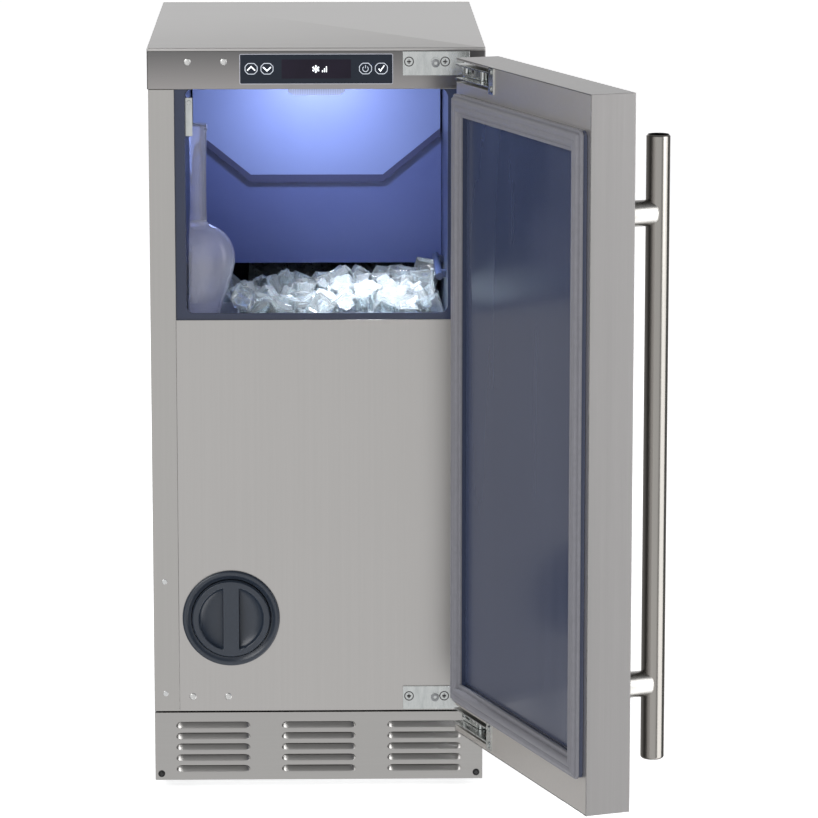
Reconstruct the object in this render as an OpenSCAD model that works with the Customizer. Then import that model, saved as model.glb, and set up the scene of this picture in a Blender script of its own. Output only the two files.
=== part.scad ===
// Undercounter clear-ice maker, 380 mm wide, with its door held open.
// X runs to the right, Y runs from the front towards the back, Z is up.
// The origin is on the floor, at the middle of the cabinet's front plane.

/* [Cabinet] */
// Width across the top cap
cab_w = 380; // [340:5:460]
// Depth from the front plane to the back panel
cab_d = 546; // [500:2:660]
// Height from the floor to the top
cab_h = 857; // [800:1:1040]
// Height of the band above the bin mouth
fascia_h = 46.5; // [42:0.5:60]
// Width of the fold that each side panel shows at the front
stile_w = 28.8; // [22:0.2:40]
// Thickness of the outer steel
sheet = 1.2; // [0.8:0.1:2]
// Thickness of the front plates
front_t = 1.5; // [1:0.1:2.5]
// How far the cap stands out past the side panels
cap_over = 1.2; // [0.6:0.1:3]

/* [Bin] */
// Height of the bin mouth
mouth_h = 262.5; // [200:0.5:320]
// Depth of the bin below its lip
bin_drop = 208; // [120:1:240]
// Width of the navy liner flange beside the mouth
flange_w = 12; // [8:0.5:20]
// Thickness of the liner's plastic
liner_t = 2.5; // [2:0.1:4]
// Inside length of the liner, front to back
bin_len = 466; // [380:2:480]
// Thickness of the splash curtain
curtain_t = 3.5; // [2.5:0.1:6]
// Distance of the splash curtain behind the front plane
curtain_y = 250; // [200:1:300]

/* [Door] */
// Thickness of the door without its gasket
door_t = 50; // [36:1:60]
// Gap between the door's inner skin and the cabinet
door_gap = 12.6; // [12.6:0.2:18]
// Opening angle at the stop
door_open = 109.69; // [80:0.01:109.69]
// Diameter of the handle tube
tube_d = 25.4; // [20:0.2:34]
// Length of the handle tube
tube_len = 672; // [400:2:720]
// Distance between the handle's two posts
post_span = 507; // [250:1:600]
// Distance of the handle's axis in front of the door
tube_out = 45.8; // [36:0.2:70]
// Distance of the handle's axis from the door's free edge
tube_in = 45; // [25:1:80]

/* [Hinges] */
// Length of the cabinet plate
plate_l = 75; // [66:1:90]
// Height of the cabinet plate
plate_h = 27; // [22:1:34]
// Radius of the hinge pins
pin_r = 2.5; // [2:0.1:3.5]
// Running clearance round a hinge pin
pin_gap = 0.05; // [0.01:0.01:0.1]
// Length of the link that swings on the cabinet plate
link_a = 66; // [60:0.5:70]
// Width of the links
link_w = 9; // [7:0.5:11]
// Depth of the hinge pockets in the door
pocket_d = 22; // [20:0.5:30]

/* [Base] */
// Height of the kick plate
kick_h = 80; // [60:1:100]
// Gap under the kick plate
kick_lift = 10; // [6:1:25]
// Length of one louvre
louvre_l = 85; // [60:1:100]
// Pitch of the louvres, up the kick plate
louvre_p = 12.9; // [10:0.1:16]
// Radius of a levelling foot
foot_r = 17; // [12:0.5:24]
// Radius of a levelling leg's stud
stud_r = 5; // [4:0.5:8]
// Radius of the water filter's twist cap
cap_r = 45; // [35:0.5:50]

/* [Ice] */
// Width of the scoop's handle
scoop_w = 22; // [16:1:28]
// Height of the ice at the front of the bin, below the lip
ice_low = 4; // [0:1:60]

/* [Hidden] */
$fn = 48;

hw = cab_w / 2;
bw = hw - cap_over;
fas_z = cab_h - fascia_h;
lid_t = 3.4;
kick_top = kick_lift + kick_h;
body_z = kick_top + 2;
lip_z = fas_z - mouth_h;
open_x = bw - stile_w;
liner_x = open_x - flange_w;
lip_in_z = lip_z + 7.6;
ceil_z = fas_z + 1.5;
floor_z = lip_z - bin_drop;
flange_y = front_t + 0.3;
liner_back = flange_y + liner_t + bin_len;
foam_out = 0.3;
foam_z = floor_z - liner_t - 32;
base_z = kick_lift + 20;
rear_y = cab_d - sheet;
fit = 0.05;
soft = 0.3;

steel = [0.68, 0.67, 0.66];
steel_dark = [0.50, 0.49, 0.48];
zinc = [0.78, 0.80, 0.79];
navy = [0.19, 0.24, 0.34];
slate = [0.16, 0.19, 0.25];
black = [0.06, 0.06, 0.07];
white = [0.90, 0.91, 0.93];
lilac = [0.65, 0.65, 0.69];
ice_blue = [0.80, 0.90, 0.95];
copper = [0.72, 0.43, 0.27];
galv = [0.62, 0.64, 0.65];

// Hinge geometry, first with the door closed, then with it open
hinge_zs = [cab_h - 17.5, kick_top + 17];
screw_up = 2;
plate_x1 = hw - 18;
plate_x0 = plate_x1 - plate_l;
screw_xs = [plate_x0 + 7, plate_x0 + 47.5];
pin_y = -8;
p1 = [hw - 22, pin_y];
p2c = [hw - 46, -door_gap - 14];
qc = [p1[0] - link_a, pin_y];
arm_b = p2c - qc;
link_b = norm(arm_b);
turn_a = 89.16;
turn_b = -45.53;
function spin(v, a) = [v[0] * cos(a) - v[1] * sin(a), v[0] * sin(a) + v[1] * cos(a)];
qo = p1 + spin([-link_a, 0], turn_a);
p2o = qo + spin(arm_b, turn_b);

// Door planes, with the door closed
dw = cab_w / 2 - 1;
door_top = cab_h - 3;
door_bot = kick_top - 2;
in_y = -door_gap;
out_y = -door_gap - door_t;
ring_w = 24;
ring_side = 8;
ring_end = 38;
pocket_l = 96;

// ---------- shared shapes ----------

// Rectangle with round corners, centred
module rrect(w, h, r) {
    square([w - 2 * r, h], center = true);
    square([w, h - 2 * r], center = true);
    for (sx = [-1, 1], sy = [-1, 1])
        translate([sx * (w / 2 - r), sy * (h / 2 - r)]) circle(r);
}

// Box from its two corners
module box(a, b) {
    translate(a) cube(b - a);
}

// Round bar along Y, from y0 to y1
module bar_y(x, z, y0, y1, r) {
    translate([x, y1, z]) rotate([90, 0, 0]) cylinder(h = y1 - y0, r = r);
}

// Round bar along X, from x0 to x1
module bar_x(y, z, x0, x1, r) {
    translate([x0, y, z]) rotate([0, 90, 0]) cylinder(h = x1 - x0, r = r);
}

// Plate in the front plane: a centred outline pushed back along Y
module front_plate(x, z, y0, y1) {
    translate([x, y1, z]) rotate([90, 0, 0]) linear_extrude(y1 - y0) children();
}

// Flat bar with round ends between two points in plan
module link_bar(p, q, z0, z1, w) {
    d = q - p;
    translate([p[0], p[1], z0]) rotate([0, 0, atan2(d[1], d[0])]) linear_extrude(z1 - z0) {
        translate([0, -w / 2]) square([norm(d), w]);
        circle(w / 2);
        translate([norm(d), 0]) circle(w / 2);
    }
}

// Upright bore or pin
module pole(p, z0, z1, r) {
    translate([p[0], p[1], z0]) cylinder(h = z1 - z0, r = r);
}

// Moves a piece from its closed place to its open place
module open_a() {
    translate([p1[0], p1[1], 0]) rotate([0, 0, turn_a]) translate([-p1[0], -p1[1], 0]) children();
}

module open_b() {
    translate([qo[0], qo[1], 0]) rotate([0, 0, turn_b]) translate([-qc[0], -qc[1], 0]) children();
}

module open_door() {
    translate([p2o[0], p2o[1], 0]) rotate([0, 0, door_open])
        translate([-p2c[0], -p2c[1], 0]) children();
}

// ---------- outer cabinet ----------

module top_panel() {
    color([0.77, 0.76, 0.75]) difference() {
        box([-hw, -0.6, cab_h - lid_t], [hw, cab_d, cab_h]);
        box([-hw + 4, 6, cab_h - lid_t - 1], [hw - 4, cab_d - 4, cab_h - 1.4]);
    }
}

glass_w = 171;
glass_h = 33;
glass_z = cab_h - 23.7;

module front_fascia() {
    z1 = cab_h - lid_t - 0.3;
    color(steel_dark) difference() {
        union() {
            box([-hw, 0, fas_z], [hw, front_t, z1]);
            for (s = [-1, 1])
                box([s > 0 ? hw - 1 : -hw, 0, fas_z], [s > 0 ? hw : -hw + 1, 40, z1]);
        }
        front_plate(0, glass_z, -1, front_t + 1) square([glass_w + 0.6, glass_h + 0.6], center = true);
        for (x = screw_xs, s = [-1, 1])
            bar_y(s * x, hinge_zs[0] + screw_up, -1, front_t + 1, 2.1);
    }
}

module side_panel(s) {
    z1 = cab_h - lid_t - 0.3;
    mirror([s > 0 ? 1 : 0, 0, 0]) difference() {
        union() {
            box([-bw, 0.0, body_z], [-bw + sheet, rear_y - 0.3, fas_z - 0.3]);
            box([-bw, 42, fas_z - 0.3], [-bw + sheet, rear_y - 0.3, z1]);
            box([-bw, 0, body_z], [-bw + stile_w, front_t, fas_z - 0.3]);
            box([-bw, rear_y - 0.3 - sheet, body_z], [-bw + 18, rear_y - 0.3, z1]);
        }
        for (z = [body_z + 20.6, body_z + 152.5])
            bar_y(-bw + 12.9, z, -1, front_t + 1, 1.8);
    }
}

module side_panel_left() color(steel) side_panel(-1);
module side_panel_right() color(steel) side_panel(1);

filter_x = -hw + 90;
filter_z = 201.7;
bezel_r = cap_r + 10.85;

module lower_front_panel() {
    color(steel) difference() {
        union() {
            box([-open_x + 0.2, 0, body_z], [open_x - 0.2, front_t, lip_z]);
            box([-open_x + 0.2, front_t, body_z], [open_x - 0.2, 16, body_z + sheet]);
        }
        bar_y(filter_x, filter_z, -1, front_t + 1, cap_r + 6);
        for (x = screw_xs, s = [-1, 1])
            bar_y(s * x, hinge_zs[1] + screw_up, -1, front_t + 1, 2.1);
    }
}

inlet = [-hw + 60, 250];
drain = [-hw + 60, 130];
gland = [hw - 60, 130];

module back_panel() {
    color(galv) difference() {
        box([-bw + 0.2, rear_y, body_z], [bw - 0.2, cab_d, cab_h - lid_t - 0.3]);
        bar_y(inlet[0], inlet[1], rear_y - 1, cab_d + 1, 10);
        bar_y(drain[0], drain[1], rear_y - 1, cab_d + 1, 11);
        bar_y(gland[0], gland[1], rear_y - 1, cab_d + 1, 9);
        for (i = [0:5])
            front_plate(20, body_z + 30 + 16 * i, rear_y - 1, cab_d + 1) rrect(110, 7, 3);
    }
}

leg_x = hw - 34;
leg_ys = [56, cab_d - 50];

module base_pan() {
    color(galv) difference() {
        union() {
            box([-bw + 0.2, 3, base_z], [bw - 0.2, rear_y - 0.3, base_z + 1.5]);
            for (s = [-1, 1])
                box([s > 0 ? bw - 1.7 : -bw + 0.2, 3, kick_lift + 2],
                    [s > 0 ? bw - 0.2 : -bw + 1.7, rear_y - 0.3, body_z - 0.3]);
            box([-bw + 0.2, rear_y - 1.8, kick_lift + 2], [bw - 0.2, rear_y - 0.3, body_z - 0.3]);
            for (s = [-1, 1], y = leg_ys)
                translate([s * leg_x, y, base_z - 8]) cylinder(h = 12, r = 10, $fn = 6);
        }
        for (s = [-1, 1], y = leg_ys)
            pole([s * leg_x, y], base_z - 20, base_z + 20, stud_r + fit);
    }
}

louvre_cols = [-(hw * 0.64), 0, hw * 0.64];
louvre_z0 = kick_lift + 13.3;

// One louvre: a hood that leans out from its top edge, open below and closed at both ends
module louvre(x, z) {
    translate([x - louvre_l / 2, 0, z]) rotate([90, 0, 90]) {
        linear_extrude(louvre_l)
            polygon([[0, 4], [1.3, 4], [1.3, 2.9], [-3.5, -3.1], [-4.6, -2.7]]);
        for (e = [0, louvre_l - 1.2])
            translate([0, 0, e]) linear_extrude(1.2)
                polygon([[0, 4], [1.3, 4], [1.3, -1.1], [0, -1.1], [-4.6, -2.7]]);
    }
}

module kick_plate() {
    color(steel) difference() {
        union() {
            box([-bw, 0, kick_lift], [bw, front_t, kick_top]);
            for (s = [-1, 1])
                box([s > 0 ? bw - 1 : -bw, 0, kick_lift], [s > 0 ? bw : -bw + 1, 2.7, kick_top]);
        }
        for (x = louvre_cols, i = [0:4])
            front_plate(x, louvre_z0 + louvre_p * i + 1.2, -0.5, front_t + 0.5)
                square([louvre_l - 2.4, 4.6], center = true);
        for (s = [-1, 1])
            bar_y(s * (bw - 7.3), kick_lift + 7.5, -1, front_t + 1, 2.1);
    }
    color(steel) for (x = louvre_cols, i = [0:4]) louvre(x, louvre_z0 + louvre_p * i);
}

module kick_screws() {
    color(black) for (s = [-1, 1]) {
        bar_y(s * (bw - 7.3), kick_lift + 7.5, -1.6, 0, 4);
        bar_y(s * (bw - 7.3), kick_lift + 7.5, -0.1, 2.8, 2);
    }
}

// Button that fills one of the spare holes for a hinge on the other side
module plug(x, z) {
    translate([x, 0, z]) rotate([90, 0, 0]) {
        cylinder(h = 0.8, r = 4);
        translate([0, 0, 0.8]) cylinder(h = 0.7, r1 = 4, r2 = 2.6);
        translate([0, 0, -front_t - 1]) cylinder(h = front_t + 1.1, r = 2);
    }
}

module hole_plugs() {
    color(zinc) for (x = screw_xs, z = hinge_zs) plug(-x, z + screw_up);
}

module stile_screws() {
    color(zinc) for (s = [-1, 1], z = [body_z + 20.6, body_z + 152.5]) {
        bar_y(s * (bw - 12.9), z, -0.5, 0, 3);
        bar_y(s * (bw - 12.9), z, -0.1, front_t, 1.7);
    }
}

module leg(s, y) {
    color(black) translate([s * leg_x, y, 0]) {
        cylinder(h = 5, r = foot_r);
        translate([0, 0, 5]) cylinder(h = 4, r1 = foot_r - 2, r2 = 9);
    }
    color(zinc) translate([s * leg_x, y, 8.8]) cylinder(h = base_z + 22, r = stud_r);
}

module leg_front_left() leg(-1, leg_ys[0]);
module leg_front_right() leg(1, leg_ys[0]);
module leg_rear_left() leg(-1, leg_ys[1]);
module leg_rear_right() leg(1, leg_ys[1]);

// ---------- controls ----------

disp_w = 78;
disp_h = 21.6;
key_xs = [-73, -55.2, 55.2, 73];

module control_glass() {
    color(slate) difference() {
        front_plate(0, glass_z, -0.8, front_t) square([glass_w, glass_h], center = true);
        front_plate(0, glass_z, -1, -0.3) square([disp_w, disp_h], center = true);
    }
}

module display_window() {
    color(black) front_plate(0, glass_z, -0.8, -0.3) square([disp_w - 0.2, disp_h - 0.2], center = true);
}

// Eight-sided key outline
module key_ring(w, h, c) {
    polygon([[-w / 2 + c, -h / 2], [w / 2 - c, -h / 2], [w / 2, -h / 2 + c], [w / 2, h / 2 - c],
        [w / 2 - c, h / 2], [-w / 2 + c, h / 2], [-w / 2, h / 2 - c], [-w / 2, -h / 2 + c]]);
}

module touch_symbols() {
    color(white) for (x = key_xs)
        front_plate(x, glass_z + 0.4, -1.1, -0.8) difference() {
            key_ring(14.2, 12.6, 3.6);
            key_ring(12.8, 11.2, 3.2);
        }
}

module control_board() {
    color([0.10, 0.30, 0.16]) {
        box([-80, front_t + 0.3, glass_z - 15], [80, front_t + 1.9, glass_z + 15]);
        box([-38, front_t + 1.9, glass_z - 10], [38, front_t + 7, glass_z + 10]);
        for (x = key_xs) box([x - 5, front_t + 1.9, glass_z - 5], [x + 5, front_t + 4, glass_z + 5]);
        box([48, front_t + 1.9, glass_z + 7], [70, front_t + 10, glass_z + 14]);
    }
}

// ---------- bin ----------

liner_w = 2 * liner_x;

module bin_liner() {
    mid = (floor_z + ceil_z) / 2;
    tall = ceil_z - floor_z;
    mouth_mid = (lip_in_z + ceil_z) / 2;
    color(navy) difference() {
        union() {
            front_plate(0, mid, flange_y, liner_back + liner_t)
                rrect(liner_w + 2 * liner_t, tall + 2 * liner_t, 14);
            box([-open_x - 8, flange_y, lip_z - 10], [open_x + 8, flange_y + liner_t, ceil_z + liner_t]);
        }
        front_plate(0, mid, flange_y + liner_t, liner_back) rrect(liner_w, tall, 12);
        front_plate(0, mouth_mid, flange_y - 1, flange_y + liner_t + 1)
            rrect(liner_w, ceil_z - lip_in_z, 9);
        pole([0, liner_back - 60], floor_z - liner_t - 1, floor_z + 1, 9);
        for (s = [-1, 1])
            bar_x(curtain_y + 2, ceil_z - 12, s * (liner_x - 0.2) - 2.8, s * (liner_x - 0.2) + 2.8, 3 + fit);
    }
}

module foam_shell() {
    mid = (floor_z + ceil_z) / 2;
    tall = ceil_z - floor_z;
    color([0.93, 0.88, 0.70]) difference() {
        box([-bw + sheet + soft, flange_y + liner_t + soft, foam_z],
            [bw - sheet - soft, liner_back + 42, cab_h - lid_t - 1]);
        front_plate(0, mid, -1, liner_back + liner_t + soft)
            rrect(liner_w + 2 * liner_t + 2 * soft, tall + 2 * liner_t + 2 * soft, 14);
        box([-90, 0, ceil_z + 2], [90, front_t + 14, cab_h]);
        box([-hw, 0, fas_z - 2], [-bw + 3, 44, cab_h]);
        box([bw - 3, 0, fas_z - 2], [hw, 44, cab_h]);
        box([-open_x - 10, 0, lip_z - 12], [open_x + 10, flange_y + liner_t + 1, ceil_z + 4]);
    }
}

module bin_lamp() {
    color(white) {
        box([-32, 12, ceil_z - 7], [32, 38, ceil_z - 0.2]);
        front_plate(0, ceil_z - 8, 15, 35) rrect(56, 4, 1.9);
    }
}

module sensor_bracket() {
    x0 = -liner_x + 0.3;
    color(steel_dark) {
        box([x0, 14, ceil_z - 56], [x0 + 1.5, 34, ceil_z - 12.5]);
        box([x0, 14, ceil_z - 56], [x0 + 8, 15.5, ceil_z - 12.5]);
        bar_y(x0 + 4.5, ceil_z - 18, 11.5, 14.2, 2.4);
    }
}

module thermostat_tube() {
    color(copper) {
        bar_y(liner_x - 8, lip_z + 40, 60, curtain_y - 30, 4);
        for (y = [80, curtain_y - 60])
            box([liner_x - 8, y, lip_z + 36], [liner_x - 0.2, y + 8, lip_z + 44]);
    }
}

// Wall across the back of the bin, behind the curtain's lower edge; ice comes out below it
module bin_baffle() {
    y0 = curtain_y + curtain_t + 4;
    color(navy) {
        box([-liner_x + 0.4, y0, lip_z + 26], [liner_x - 0.4, y0 + 2, ceil_z - 83]);
        box([-liner_x + 0.4, y0, lip_z + 26], [liner_x - 0.4, y0 + 4.5, lip_z + 28]);
    }
}

// Lower outline of the curtain: flat in the middle, rising to both walls
curtain_top = ceil_z - 4;
curtain_low = fas_z - 139;
curtain_flat = liner_x - 70;
curtain_side = liner_x - 2;
curtain_rise = 55;

module curtain_shape(in) {
    polygon([[-curtain_side, curtain_top - 10], [-curtain_side + 8, curtain_top],
        [curtain_side - 8, curtain_top], [curtain_side, curtain_top - 10],
        [curtain_side, curtain_low + curtain_rise + in], [curtain_flat, curtain_low + in],
        [-curtain_flat, curtain_low + in], [-curtain_side, curtain_low + curtain_rise + in]]);
}

module splash_curtain() {
    color(white) {
        translate([0, curtain_y + curtain_t, 0]) rotate([90, 0, 0])
            linear_extrude(curtain_t) curtain_shape(9);
        for (s = [-1, 1]) {
            bar_x(curtain_y + 2, ceil_z - 12, s * (liner_x - 1.8) - 3, s * (liner_x - 1.8) + 3, 3);
            box([s * (liner_x - 6) - 3, curtain_y + 1, ceil_z - 40],
                [s * (liner_x - 6) + 3, curtain_y + 9, ceil_z - 9]);
        }
        box([-curtain_flat, curtain_y + 1, curtain_low + 60], [curtain_flat, curtain_y + 6, curtain_low + 66]);
    }
}

module curtain_edge() {
    color(slate) translate([0, curtain_y + curtain_t, 0]) rotate([90, 0, 0])
        linear_extrude(curtain_t) difference() {
            curtain_shape(0);
            translate([0, 0]) polygon([[-500, 2000], [500, 2000],
                [curtain_side + 10, curtain_low + curtain_rise + 9 + 10 * curtain_rise / 68],
                [curtain_side, curtain_low + curtain_rise + 9], [curtain_flat, curtain_low + 9],
                [-curtain_flat, curtain_low + 9], [-curtain_side, curtain_low + curtain_rise + 9],
                [-curtain_side - 10, curtain_low + curtain_rise + 9 + 10 * curtain_rise / 68]]);
        }
}

// ---------- ice making ----------

evap_x0 = -liner_x + 23;
evap_x1 = liner_x - 53;
evap_y = (curtain_y + liner_back) / 2;
evap_z = ceil_z - 46;
evap_tilt = 12;

module evaporator_plate() {
    color(galv) translate([0, evap_y, evap_z]) rotate([evap_tilt, 0, 0]) {
        box([evap_x0, -84, 0], [evap_x1, 84, 2]);
        for (x = [evap_x0, evap_x1 - 2]) box([x, -84, 2], [x + 2, 84, 12]);
        box([evap_x0, 82, 2], [evap_x1, 84, 12]);
    }
}

module evaporator_coil() {
    n = 8;
    pitch = 20;
    r = 4;
    color(copper) translate([0, evap_y, evap_z]) rotate([evap_tilt, 0, 0])
        translate([0, -pitch * (n - 1) / 2, -r - 0.2]) {
            for (i = [0:n - 1])
                bar_x(pitch * i, 0, evap_x0 + 16, evap_x1 - 16, r);
            for (i = [0:n - 2])
                translate([i % 2 == 0 ? evap_x1 - 16 : evap_x0 + 16, pitch * (i + 0.5), 0])
                    rotate([0, 0, i % 2 == 0 ? -90 : 90])
                        rotate_extrude(angle = 180) translate([pitch / 2, 0]) circle(r);
        }
}

module distribution_tube() {
    color(white) difference() {
        bar_x(evap_y + 92, evap_z + 33, evap_x0 + 4, evap_x1 - 4, 7);
        bar_x(evap_y + 92, evap_z + 33, evap_x0 + 7, evap_x1 - 2, 5);
        for (i = [0:9])
            pole([evap_x0 + 20 + 18 * i, evap_y + 92], evap_z + 20, evap_z + 33, 1.4);
    }
}

module water_trough() {
    y0 = curtain_y + 13;
    z0 = evap_z - 54;
    color([0.75, 0.77, 0.80]) difference() {
        box([-liner_x + 8, y0, z0], [liner_x - 8, y0 + 34, z0 + 26]);
        box([-liner_x + 10.5, y0 + 2.5, z0 + 2.5], [liner_x - 10.5, y0 + 31.5, z0 + 30]);
    }
}

module circulation_pump() {
    x = liner_x - 26;
    y = curtain_y + 33;
    z0 = evap_z - 24;
    color(black) {
        translate([x, y, z0]) cylinder(h = 42, r = 17);
        translate([x, y, z0 - 24]) cylinder(h = 24.2, r = 10);
        translate([x, y, z0 + 42]) cylinder(h = 6, r1 = 17, r2 = 12);
    }
}

module cutter_grid() {
    x1 = liner_x - 18;
    y0 = curtain_y + 52;
    y1 = liner_back - 12;
    z0 = evap_z - 92;
    color(galv) {
        difference() {
            box([-x1, y0, z0], [x1, y1, z0 + 14]);
            box([-x1 + 8, y0 + 8, z0 - 1], [x1 - 8, y1 - 8, z0 + 15]);
        }
        for (i = [1:9]) bar_y(-x1 + 8 + i * (2 * x1 - 16) / 10, z0 + 9, y0 + 8.05, y1 - 8.05, 0.8);
        for (i = [1:5]) bar_x(y0 + 8 + i * (y1 - y0 - 16) / 6, z0 + 5, -x1 + 8.05, x1 - 8.05, 0.8);
    }
}

holder_x1 = -liner_x + 60;

module ice_heap() {
    z0 = floor_z + 1;
    zt = lip_in_z - ice_low;
    x0 = holder_x1 + 4;
    x1 = liner_x - 5;
    color(ice_blue) hull() {
        box([x0, 20, z0], [x1 - 10, liner_back - 20, z0 + 2]);
        box([x0, 12, z0 + 14], [x1, liner_back - 12, zt - 6]);
        box([x0 + 20, 90, zt], [x1 - 20, liner_back - 60, zt + 16]);
    }
}

// ---------- scoop ----------

scoop_x = -liner_x + 12.8;
scoop_y = 60;
scoop_z = lip_z + 104;

module scoop_bulb(t) {
    hull() {
        translate([-6, 0, -42]) scale([48 - t, 34 - t, 38 - t]) sphere(1, $fn = 40);
        translate([-6, 0, -130]) scale([20 - t, 27 - t, 12 - t]) sphere(1, $fn = 40);
    }
}

module scoop() {
    color([0.88, 0.90, 0.95]) translate([scoop_x, scoop_y, scoop_z]) {
        difference() {
            scoop_bulb(0);
            scoop_bulb(2.4);
            box([-90, -60, -200], [-10.5, 60, 60]);
        }
        hull() {
            translate([-0.5, 0, -12]) linear_extrude(4) rrect(scoop_w - 2, 30, 6);
            translate([0, 0, 20]) linear_extrude(4) rrect(scoop_w - 3, 22, 6);
        }
        hull() {
            translate([0, 0, 20]) linear_extrude(2) rrect(scoop_w - 3, 22, 6);
            translate([0, 0, 106]) linear_extrude(2) rrect(scoop_w - 2, 24, 6);
        }
        translate([0, 0, 106]) linear_extrude(6) rrect(scoop_w + 1, 30, 7);
    }
}

module scoop_holder() {
    x0 = -liner_x + 0.3;
    z0 = scoop_z - 144.8;
    color(white) difference() {
        union() {
            box([x0, scoop_y - 38, z0], [holder_x1, scoop_y + 38, z0 + 45]);
            box([x0, scoop_y - 20, z0 + 43], [x0 + 0.8, scoop_y + 20, z0 + 58]);
        }
        box([x0 + 0.8, scoop_y - 35.5, z0 + 2.5], [holder_x1 - 2.5, scoop_y + 35.5, z0 + 46]);
    }
}

// ---------- water filter ----------

module filter_housing() {
    color(white) difference() {
        union() {
            bar_y(filter_x, filter_z, front_t, 290, cap_r + 5.6);
            bar_y(filter_x, filter_z, 290, 300, cap_r - 10);
        }
        bar_y(filter_x, filter_z, 0, 286, cap_r + 0.6);
    }
}

module filter_bezel() {
    color(slate) difference() {
        union() {
            bar_y(filter_x, filter_z, -4, 0, bezel_r);
            bar_y(filter_x, filter_z, 0, front_t, cap_r + 5.6);
        }
        bar_y(filter_x, filter_z, -5, front_t + 1, cap_r + 0.6);
    }
}

module filter_cap() {
    color(slate) {
        difference() {
            bar_y(filter_x, filter_z, -6.5, 14, cap_r);
            bar_y(filter_x, filter_z, -7.5, 2, cap_r - 8);
        }
        intersection() {
            box([filter_x - 9.3, -6.5, filter_z - 50], [filter_x + 9.3, 2.1, filter_z + 50]);
            bar_y(filter_x, filter_z, -7, 3, cap_r - 7.9);
        }
    }
}

module filter_cartridge() {
    color([0.85, 0.87, 0.90]) {
        bar_y(filter_x, filter_z, 14, 258, cap_r - 6);
        bar_y(filter_x, filter_z, 258, 276, 14);
    }
}

// ---------- machine compartment ----------

comp = [hw - 108, cab_d - 142];

module compressor() {
    color(black) {
        translate([comp[0], comp[1], base_z + 12]) rotate_extrude()
            polygon([[0, 0], [60, 0], [72, 14], [76, 40], [76, 110], [72, 132], [56, 150], [24, 158], [0, 158]]);
        for (a = [45:90:315])
            translate([comp[0] + 78 * cos(a), comp[1] + 78 * sin(a), base_z + 1.7]) cylinder(h = 12, r = 12);
        translate([comp[0], comp[1], base_z + 11.7]) linear_extrude(2.4) difference() {
            rrect(136, 136, 26);
            circle(50);
        }
        box([comp[0] - 100, comp[1] - 26, base_z + 60], [comp[0] - 74, comp[1] + 26, base_z + 120]);
    }
}

cond_x0 = -hw + 40;
cond_x1 = hw - 22;
cond_z0 = base_z + 4;
cond_z1 = base_z + 94;

module condenser() {
    n = 34;
    color(galv) {
        for (i = [0:n])
            box([cond_x0 + 8 + i * (cond_x1 - cond_x0 - 17) / n, 92, cond_z0 + 1],
                [cond_x0 + 8.6 + i * (cond_x1 - cond_x0 - 17) / n, 128, cond_z1 - 1]);
        for (x = [cond_x0, cond_x1 - 2]) box([x, 90, cond_z0], [x + 2, 130, cond_z1]);
    }
    color(copper) for (z = [cond_z0 + 14:20:cond_z1 - 8], y = [102, 118])
        bar_x(y, z, cond_x0 + 1, cond_x1 - 1, 3.6);
}

fan_x = hw - 78;
fan_z = base_z + 60;

module fan_shroud() {
    color(black) difference() {
        box([fan_x - 54, 138, base_z + 2], [fan_x + 54, 168, base_z + 118]);
        bar_y(fan_x, fan_z, 137, 169, 50);
    }
    color(black) for (a = [0, 90])
        translate([fan_x, 162, fan_z]) rotate([0, a, 0]) box([-51, 0, -3], [51, 4, 3]);
}

module fan_motor() {
    color(galv) {
        bar_y(fan_x, fan_z, 166.2, 200, 24);
        bar_y(fan_x, fan_z, 144, 161.8, 3);
    }
}

module fan_blade() {
    color(white) {
        difference() {
            bar_y(fan_x, fan_z, 146, 158, 14);
            bar_y(fan_x, fan_z, 140, 160, 3 + fit);
        }
        for (a = [0:72:288])
            translate([fan_x, 152, fan_z]) rotate([0, a, 0]) rotate([0, 0, 0])
                translate([13, 0, 0]) rotate([24, 0, 0]) translate([0, -0.8, -11]) cube([33, 1.6, 22]);
    }
}

module water_valve() {
    x = inlet[0];
    z = inlet[1];
    color(white) {
        box([x - 18, rear_y - 52, z - 16], [x + 18, rear_y - 12, z + 16]);
        translate([x, rear_y - 32, z + 16]) cylinder(h = 30, r = 14);
    }
    color([0.78, 0.62, 0.30]) {
        bar_y(x, z, rear_y - 12.2, cab_d, 7);
        bar_y(x, z, cab_d, cab_d + 16, 8);
        translate([x, rear_y - 4.4, z]) rotate([90, 0, 0]) cylinder(h = 7, r = 14, $fn = 6);
    }
}

module drain_pump() {
    x = drain[0];
    z = drain[1];
    color(black) {
        box([x - 34, rear_y - 150, base_z + 1.7], [x + 34, rear_y - 66, base_z + 76]);
        translate([x, rear_y - 106, base_z + 76]) cylinder(h = 44, r = 26);
    }
    color(white) {
        bar_y(x, z, rear_y - 90, cab_d, 7);
        bar_y(x, z, cab_d, cab_d + 20, 8);
    }
}

module cord_gland() {
    color(black) difference() {
        union() {
            bar_y(gland[0], gland[1], rear_y - 14, cab_d + 3, 8.8);
            bar_y(gland[0], gland[1], cab_d, cab_d + 3, 12);
        }
        bar_y(gland[0], gland[1], rear_y - 15, cab_d + 4, 5);
    }
}

// ---------- hinges ----------

ear_in = 3.3;
ear_t = 3;
ear_r = 4.3;

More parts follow.
